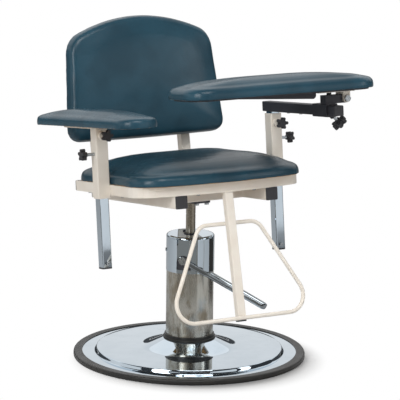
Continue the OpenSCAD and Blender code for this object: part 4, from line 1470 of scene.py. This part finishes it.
@dataclass
class PumpBase:
    """Round base, pump tube, shell and ram.

    The cover's rim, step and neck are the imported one's. Its flare leaves a flatter
    dome smoothly and rises at one slope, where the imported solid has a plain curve.
    The rim, flare and neck are radii and heights; the step is a radius and a width.
    """

    work: Framework
    rim: Span = (281 * MM, 12 * MM)
    step: Span = (236 * MM, 6.5 * MM)
    step_h: float = 10 * MM
    flare: Span = (126 * MM, 24.5 * MM)
    neck: Span = (66 * MM, 46 * MM)
    bore: float = 60 * MM
    wall: float = 1.5 * MM
    bend: float = 0.4
    step_steps: int = 24
    dome_steps: int = 12
    flare_steps: int = 32
    around: int = 192

    def profile(self) -> list[Span]:
        """Radii and heights of the cover's upper side, from its rim to its neck."""
        (step_r, run), (far, low), (near, high) = self.step, self.flare, self.neck
        found = [self.rim]
        for i in range(self.step_steps + 1):
            u = i / self.step_steps
            rise = (1 - math.cos(math.pi * u)) / 2
            found.append((step_r + run * (0.5 - u), self.rim[1] + self.step_h * rise))
        edge, top = found[-1]
        for i in range(1, self.dome_steps + 1):
            u = i / self.dome_steps
            found.append((edge + (far - edge) * u, top + (low - top) * u))
        dome = (low - top) / (edge - far)
        left = (high - low) / (far - near) - dome
        for i in range(1, self.flare_steps + 1):
            u = i / self.flare_steps
            bent = u * u / (2 * self.bend) if u < self.bend else u - self.bend / 2
            rise = dome * u + left * bent / (1 - self.bend / 2)
            found.append((far + (near - far) * u, low + (far - near) * rise))
        found.append((self.bore, high))
        return found

    def cover(self) -> None:
        """Turns the pressed cover as one fine closed piece."""
        upper = self.profile()
        lower = [(r, z - self.wall) for r, z in upper]
        ring = lower + upper[::-1]
        points = []
        for j in range(self.around):
            t = 2 * math.pi * j / self.around
            points += [(r * math.cos(t), r * math.sin(t), z) for r, z in ring]
        faces = tube_faces(self.around, len(ring), closed=True)
        piece = mesh_piece("cover_pressing", points, faces)
        paint(piece, CHROME)
        smooth(piece, PRESSED_EDGE)
        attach(piece, "base")
        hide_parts("base_cover")
        report(piece)

    def dress(self) -> None:
        """Lays the finishes on the pump and its base."""
        work = self.work
        work.dress(CHROME, "pump_shell")
        work.dress(RAM_STEEL, "ram")
        work.dress(PUMP_STEEL, "pump_cylinder")
        work.dress(STEEL, "base_plate", "ram_barrel")
        work.dress(RUBBER, "rubber_edge", "pump_foot_collar")
        work.dress(BLACK, "pump_head", "ram_gland", "oil_plug")
        work.dress(ZINC, "pump_bolts", "pump_shell_screws")


@dataclass
class FootLever:
    """Chromed lever that works the pump.

    Its arm, pedal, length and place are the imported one's. The pedal here is a bar
    with rolled edges, a groove beside its outer lip and a rounded tip. The arm's and
    the pedal's outlines across the length are in millimetres.
    """

    work: Framework
    heading: float = math.radians(-45)
    axle_z: float = 256 * MM
    slope: float = math.radians(26)
    tail: Span = (-14 * MM, -7.5 * MM)
    widening: Span = (62 * MM, 76 * MM)
    tip: Span = (222 * MM, 237 * MM)
    tip_powers: Span = (2.5, 4.0)
    middle: Span = (-54 * MM, 1.2 * MM)
    corner_cut: float = 0.25
    corner_cuts: int = 2
    steps: int = 8
    end_share: float = 0.99
    arm: tuple[Span, ...] = (
        (-64.2, -6.5), (-64.8, -5.0), (-65.0, -1.5), (-65.0, 1.5), (-64.8, 4.8),
        (-64.4, 6.1), (-64.1, 6.4), (-63.8, 6.5), (-63.5, 6.5), (-63.2, 6.4),
        (-62.9, 6.1), (-62.6, 5.2), (-62.5, 4.0), (-62.5, 2.0), (-62.5, 0.0),
        (-62.5, -4.5), (-62.7, -6.2), (-63.3, -6.5),
    )
    pedal: tuple[Span, ...] = (
        (-62.6, -6.5), (-64.4, -5.0), (-65.0, -1.5), (-65.0, 1.5), (-64.4, 4.5),
        (-62.8, 6.0), (-61.2, 5.0), (-60.2, 4.2), (-59.2, 6.0), (-57.0, 8.4),
        (-53.0, 9.0), (-48.0, 8.7), (-44.6, 7.0), (-43.2, 4.0), (-43.0, 0.0),
        (-43.2, -4.5), (-44.5, -6.5), (-53.0, -6.5),
    )

    def place(self) -> Matrix:
        """Places the lever's frame in the shared one."""
        return (
            Matrix.Rotation(self.heading, 4, "Z")
            @ Matrix.Translation((0, 0, self.axle_z))
            @ Matrix.Rotation(self.slope, 4, "Y")
        )

    def rounded(self, outline: Sequence[Span]) -> np.ndarray:
        """Cuts the corners of a closed outline given in millimetres."""
        points = np.array(outline) * MM
        near, far = 1 - self.corner_cut, self.corner_cut
        for _ in range(self.corner_cuts):
            after = np.roll(points, -1, axis=0)
            ends = points * near + after * far, points * far + after * near
            points = np.stack(ends, 1).reshape(-1, 2)
        return points

    def section(self, x: float) -> np.ndarray:
        """Gives the lever's outline across its length at a place along it."""
        arm, pedal = self.rounded(self.arm), self.rounded(self.pedal)
        start, end = self.widening
        u = min(max((x - start) / (end - start), 0.0), 1.0)
        found = arm + (pedal - arm) * (u * u * (3 - 2 * u))
        if x < self.tail[1]:
            u = (self.tail[1] - x) / (self.tail[1] - self.tail[0])
            found[:, 1] *= math.sqrt(1 - u * u)
        if x > self.tip[0]:
            u = (x - self.tip[0]) / (self.tip[1] - self.tip[0])
            shrink = [(1 - u**power) ** (1 / power) for power in self.tip_powers]
            found = self.middle + (found - self.middle) * np.array(shrink)
        return found

    def stations(self) -> np.ndarray:
        """Places along the lever where its outline is taken."""
        count = self.steps + 1
        bend = np.sin(np.linspace(0, math.pi / 2, count)[:-1]) * self.end_share
        tail = self.tail[1] + (self.tail[0] - self.tail[1]) * bend[::-1]
        tip = self.tip[0] + (self.tip[1] - self.tip[0]) * bend
        return np.concatenate((tail, np.linspace(*self.widening, count), tip))

    def bar(self) -> None:
        """Builds the lever as one closed piece."""
        stations = self.stations().tolist()
        rings = [[(x, y, z) for y, z in self.section(x)[::-1]] for x in stations]
        place = self.place()
        points = [place @ Vector(point) for ring in rings for point in ring]
        piece = mesh_piece("lever_bar", points, tube_faces(len(rings), len(rings[0])))
        # The lever's chrome is darkened with painted shade.
        paint(piece, SHADED_LEVER_CHROME)
        smooth(piece, PRESSED_EDGE)
        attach(piece, "lever")
        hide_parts("lever_pedal")
        report(piece)

    def dress(self) -> None:
        """Lays the finishes on the lever."""
        self.work.dress(STEEL, "lever_axle", "lever_hub")


@dataclass
class SeatFrame:
    """Welded frame under the seat, with the uprights and the footrest."""

    work: Framework
    ring_rounding: float = 2.6 * MM

    def dress(self) -> None:
        """Lays the finishes on the frame."""
        work = self.work
        work.dress(
            CREAM, "front_crossmember", "rear_crossmember", "seat_rail_left",
            "seat_rail_right", "ring_tube", "armrest_sleeve", "flip_sleeve",
            "upright_left", "upright_right", "footrest_strut", "footrest_loop",
        )
        work.round_off(self.ring_rounding, "ring_tube")
        work.dress(PLASTIC, "tube_caps")
        work.dress(BLACK, "seat_plate")
        work.dress(ZINC, "seat_plate_bolts", "seat_screws", "back_screws")
        work.dress(PLY, "seat_board", "back_board")


@dataclass
class Upholstery:
    """The seat's and the back's cushions."""

    work: Framework
    seat_rise: float = 25.4 * MM
    back_rise: float = (114 + 158) * MM
    seat_outline: BowedOutline = BowedOutline(
        half=235.5 * MM,
        front=218 * MM,
        rear=214 * MM,
        bow=700 * MM,
        bend=84 * MM,
        corner=88 * MM,
        pull=6 * MM,
        rear_pull=3 * MM,
    )
    back_outline: BowedOutline = BowedOutline(
        half=225.5 * MM,
        front=158 * MM,
        rear=158 * MM,
        bow=494 * MM,
        bend=57 * MM,
        corner=35 * MM,
        pull=0.0,
        rear_pull=-2.3 * MM,
        taper=0.89,
        height=316 * MM,
    )

    def build(self) -> None:
        """Makes both cushions."""
        Cushion(
            name="seat_cushion",
            node="seat_pad",
            body="seat",
            place=self.work.seat() @ Matrix.Translation((0, 0, self.seat_rise)),
            outline=self.seat_outline,
            height=63 * MM,
            edge=30 * MM,
            rounding=22 * MM,
            hollow=3 * MM,
            fill=0.85,
            crown_power=3.2,
        ).build()
        upright = (
            self.work.back()
            @ Matrix.Translation((0, 0, self.back_rise))
            @ Matrix.Rotation(math.radians(90), 4, "X")
            @ Matrix.Rotation(math.radians(180), 4, "Z")
        )
        Cushion(
            name="back_cushion",
            node="back_pad",
            body="seat",
            place=upright,
            outline=self.back_outline,
            height=46 * MM,
            edge=34.5 * MM,
            rounding=12 * MM,
            fill=0.85,
        ).build()


@dataclass
class PlainArmrest:
    """Height-adjustable armrest on the sitter's right."""

    work: Framework
    rake: float = math.radians(0.9)

    def dress(self) -> None:
        """Lays the finishes on the post, channel and board."""
        work = self.work
        work.dress(CHROME, "armrest_post")
        work.dress(PLASTIC, "armrest_post_plug")
        work.dress(CREAM, "armrest_channel")
        work.dress(PLY, "armrest_board")
        work.dress(ZINC, "armrest_screws")

    def build(self) -> None:
        """Makes the long cushion, which lies front to back."""
        tilt = Matrix.Rotation(-(self.work.seat_lean + self.rake), 4, "X")
        turn = tilt @ Matrix.Rotation(math.radians(90), 4, "Z")
        Cushion(
            name="armrest_cushion",
            node="armrest_pad",
            body="plain_armrest",
            place=self.work.lying("armrest_board", turn),
            outline=LongOutline(526 * MM, 110 * MM, corner=53 * MM, pull=2.5 * MM),
            height=41 * MM,
            edge=26.5 * MM,
            rounding=17 * MM,
            hollow=3 * MM,
            voxel=5 * MM,
        ).build()


@dataclass
class FlipArmrest:
    """Armrest on the sitter's left that slides and flips up."""

    work: Framework
    drop: float = 4 * MM

    def dress(self) -> None:
        """Lays the finishes on the post, bar, collar, hinge and board."""
        work = self.work
        work.dress(CHROME, "flip_post")
        work.dress(PLASTIC, "flip_post_plug", "flip_bar_caps")
        work.dress(BLACK, "flip_bar", "flip_brace", "flip_board", "flip_slider")
        work.dress(BLACK, "hinge_block")
        work.dress(CREAM, "hinge_bracket")
        work.dress(ZINC, "flip_bar_screws", "hinge_bolt")
        work.dress(RUBBER, "flip_bumper")

    def build(self) -> None:
        """Makes the long cushion, which lies across the sitter's front."""
        turn = Matrix.Rotation(-self.work.seat_lean, 4, "X")
        Cushion(
            name="flip_cushion",
            node="flip_pad",
            body="flip_armrest",
            place=self.work.lying("flip_board", turn, self.drop),
            outline=LongOutline(524 * MM, 182 * MM, corner=61 * MM, pull=2.5 * MM),
            height=43 * MM,
            edge=29 * MM,
            rounding=20 * MM,
            voxel=5 * MM,
        ).build()


@dataclass
class Knobs:
    """The five lobed clamp knobs.

    Each has its stud's place, in millimetres, and way in the seat's frame.
    """

    work: Framework
    stud_r: float = 4.4 * MM
    studs: Mapping[str, tuple[Triple, Triple]] = field(
        default_factory=lambda: {
            "armrest_front_knob": ((-247, 4, 149), (0, -1, 0)),
            "armrest_side_knob": ((-247, 4, 103), (-1, 0, 0)),
            "flip_front_knob": ((247, 4, 143), (0, -1, 0)),
            "flip_side_knob": ((247, 4, 103), (1, 0, 0)),
            "slider_knob": ((260.55, -262, 170.65), (0.7071, 0, -0.7071)),
        }
    )

    def dress(self) -> None:
        """Lays black plastic on each knob and zinc plate on its stud."""
        for name, (place, way) in self.studs.items():
            self.work.dress(PLASTIC, name)
            mesh = self.work.nodes[name].data
            mesh.materials.append(ZINC.material())
            centre = np.array(self.work.seat() @ (Vector(place) * MM))
            axis = np.array(self.work.seat().to_3x3() @ Vector(way))
            points = coordinates(mesh) - centre
            gap = np.linalg.norm(points - np.outer(points @ axis, axis), axis=1)
            for face in mesh.polygons:
                if gap[list(face.vertices)].max() < self.stud_r:
                    face.material_index = 1


@dataclass
class Welds:
    """Painted weld beads of the frame.

    A bead ripples once in each pitch. Its ends start at the end width, as a share of
    the radius, and grow to full width.
    """

    work: Framework
    radius: float = 1.9 * MM
    pitch: float = 3.2 * MM
    ripple: float = 0.2
    ripple_steps: int = 4
    fewest_steps: int = 6
    end_width: float = 0.35
    end_growth: float = 4.0
    around: int = 8

    def bead(self, start: Vector, end: Vector) -> tuple[np.ndarray, list[Face]]:
        """One rippled bead.

        Args:
            start: Where it starts.
            end: Where it ends.

        Returns:
            Its points and faces.
        """
        way = end - start
        steps = round(way.length / (self.pitch / self.ripple_steps))
        steps = max(self.fewest_steps, steps)
        turn = way.to_track_quat("Z", "Y").to_matrix()
        points = []
        for i in range(steps + 1):
            share = i / steps
            wave = abs(math.cos(math.pi * share * way.length / self.pitch))
            grown = self.end_width + self.end_growth * min(share, 1 - share)
            swell = (1 - self.ripple + self.ripple * wave) * min(1.0, grown)
            for j in range(self.around):
                a = 2 * math.pi * j / self.around
                out = Vector((math.cos(a), math.sin(a), 0)) * self.radius * swell
                points.append(start + way * share + turn @ out)
        return np.array(points), tube_faces(steps + 1, self.around)

    def lines(self) -> list[tuple[Vector, Vector]]:
        """Ends of every bead in the seat's frame, in millimetres."""
        found = []
        for s in (-1, 1):
            # Sides of the footrest's strut.
            found.append(((s * 11, -194, -0.4), (s * 11, -177, -0.4)))
            # The armrests' sleeves on the ring.
            for y in (-11.9, 19.9):
                found.append(((s * 231, y, 2), (s * 231, y, 24)))
            # The uprights' feet on the rails.
            for x in (-12.7, 12.7):
                found.append(((s * 126 + x, 243, 0.3), (s * 126 + x, 267, 0.3)))
            for y in (242.3, 268.2):
                found.append(((s * 126 - 12, y, 0.3), (s * 126 + 12, y, 0.3)))
            # The crossmembers' ends at the rails.
            for y in (-64.7, -39.3, 39.3, 64.7):
                found.append(((s * 110.1, y, -29), (s * 110.1, y, -2)))
        # Front of the footrest's strut.
        found.append(((-10, -194.2, -0.4), (10, -194.2, -0.4)))
        return [(Vector(a), Vector(b)) for a, b in found]

    def build(self) -> None:
        """Makes all beads as one piece."""
        place = self.work.seat()
        points, faces, first = [], [], 0
        for start, end in self.lines():
            own, sides = self.bead(place @ (start * MM), place @ (end * MM))
            points.append(own)
            faces += [tuple(first + i for i in side) for side in sides]
            first += len(own)
        piece = mesh_piece("frame_welds", np.concatenate(points), faces)
        paint(piece, CREAM)
        smooth(piece)
        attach(piece, "seat")
        report(piece)


def main() -> None:
    """Builds the studio and the dressed chair."""
    logging.basicConfig(level=logging.INFO, format="%(message)s")
    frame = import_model()
    view = bpy.context.scene.view_settings
    view.view_transform = "Standard"
    studio = Studio()
    studio.camera()
    studio.build()
    work = Framework(frame["nodes"])
    pump = PumpBase(work)
    pump.dress()
    pump.cover()
    lever = FootLever(work)
    lever.dress()
    lever.bar()
    SeatFrame(work).dress()
    Upholstery(work).build()
    plain = PlainArmrest(work)
    plain.dress()
    plain.build()
    flip = FlipArmrest(work)
    flip.dress()
    flip.build()
    Knobs(work).dress()
    Welds(work).build()


if __name__ == "__main__":
    main()
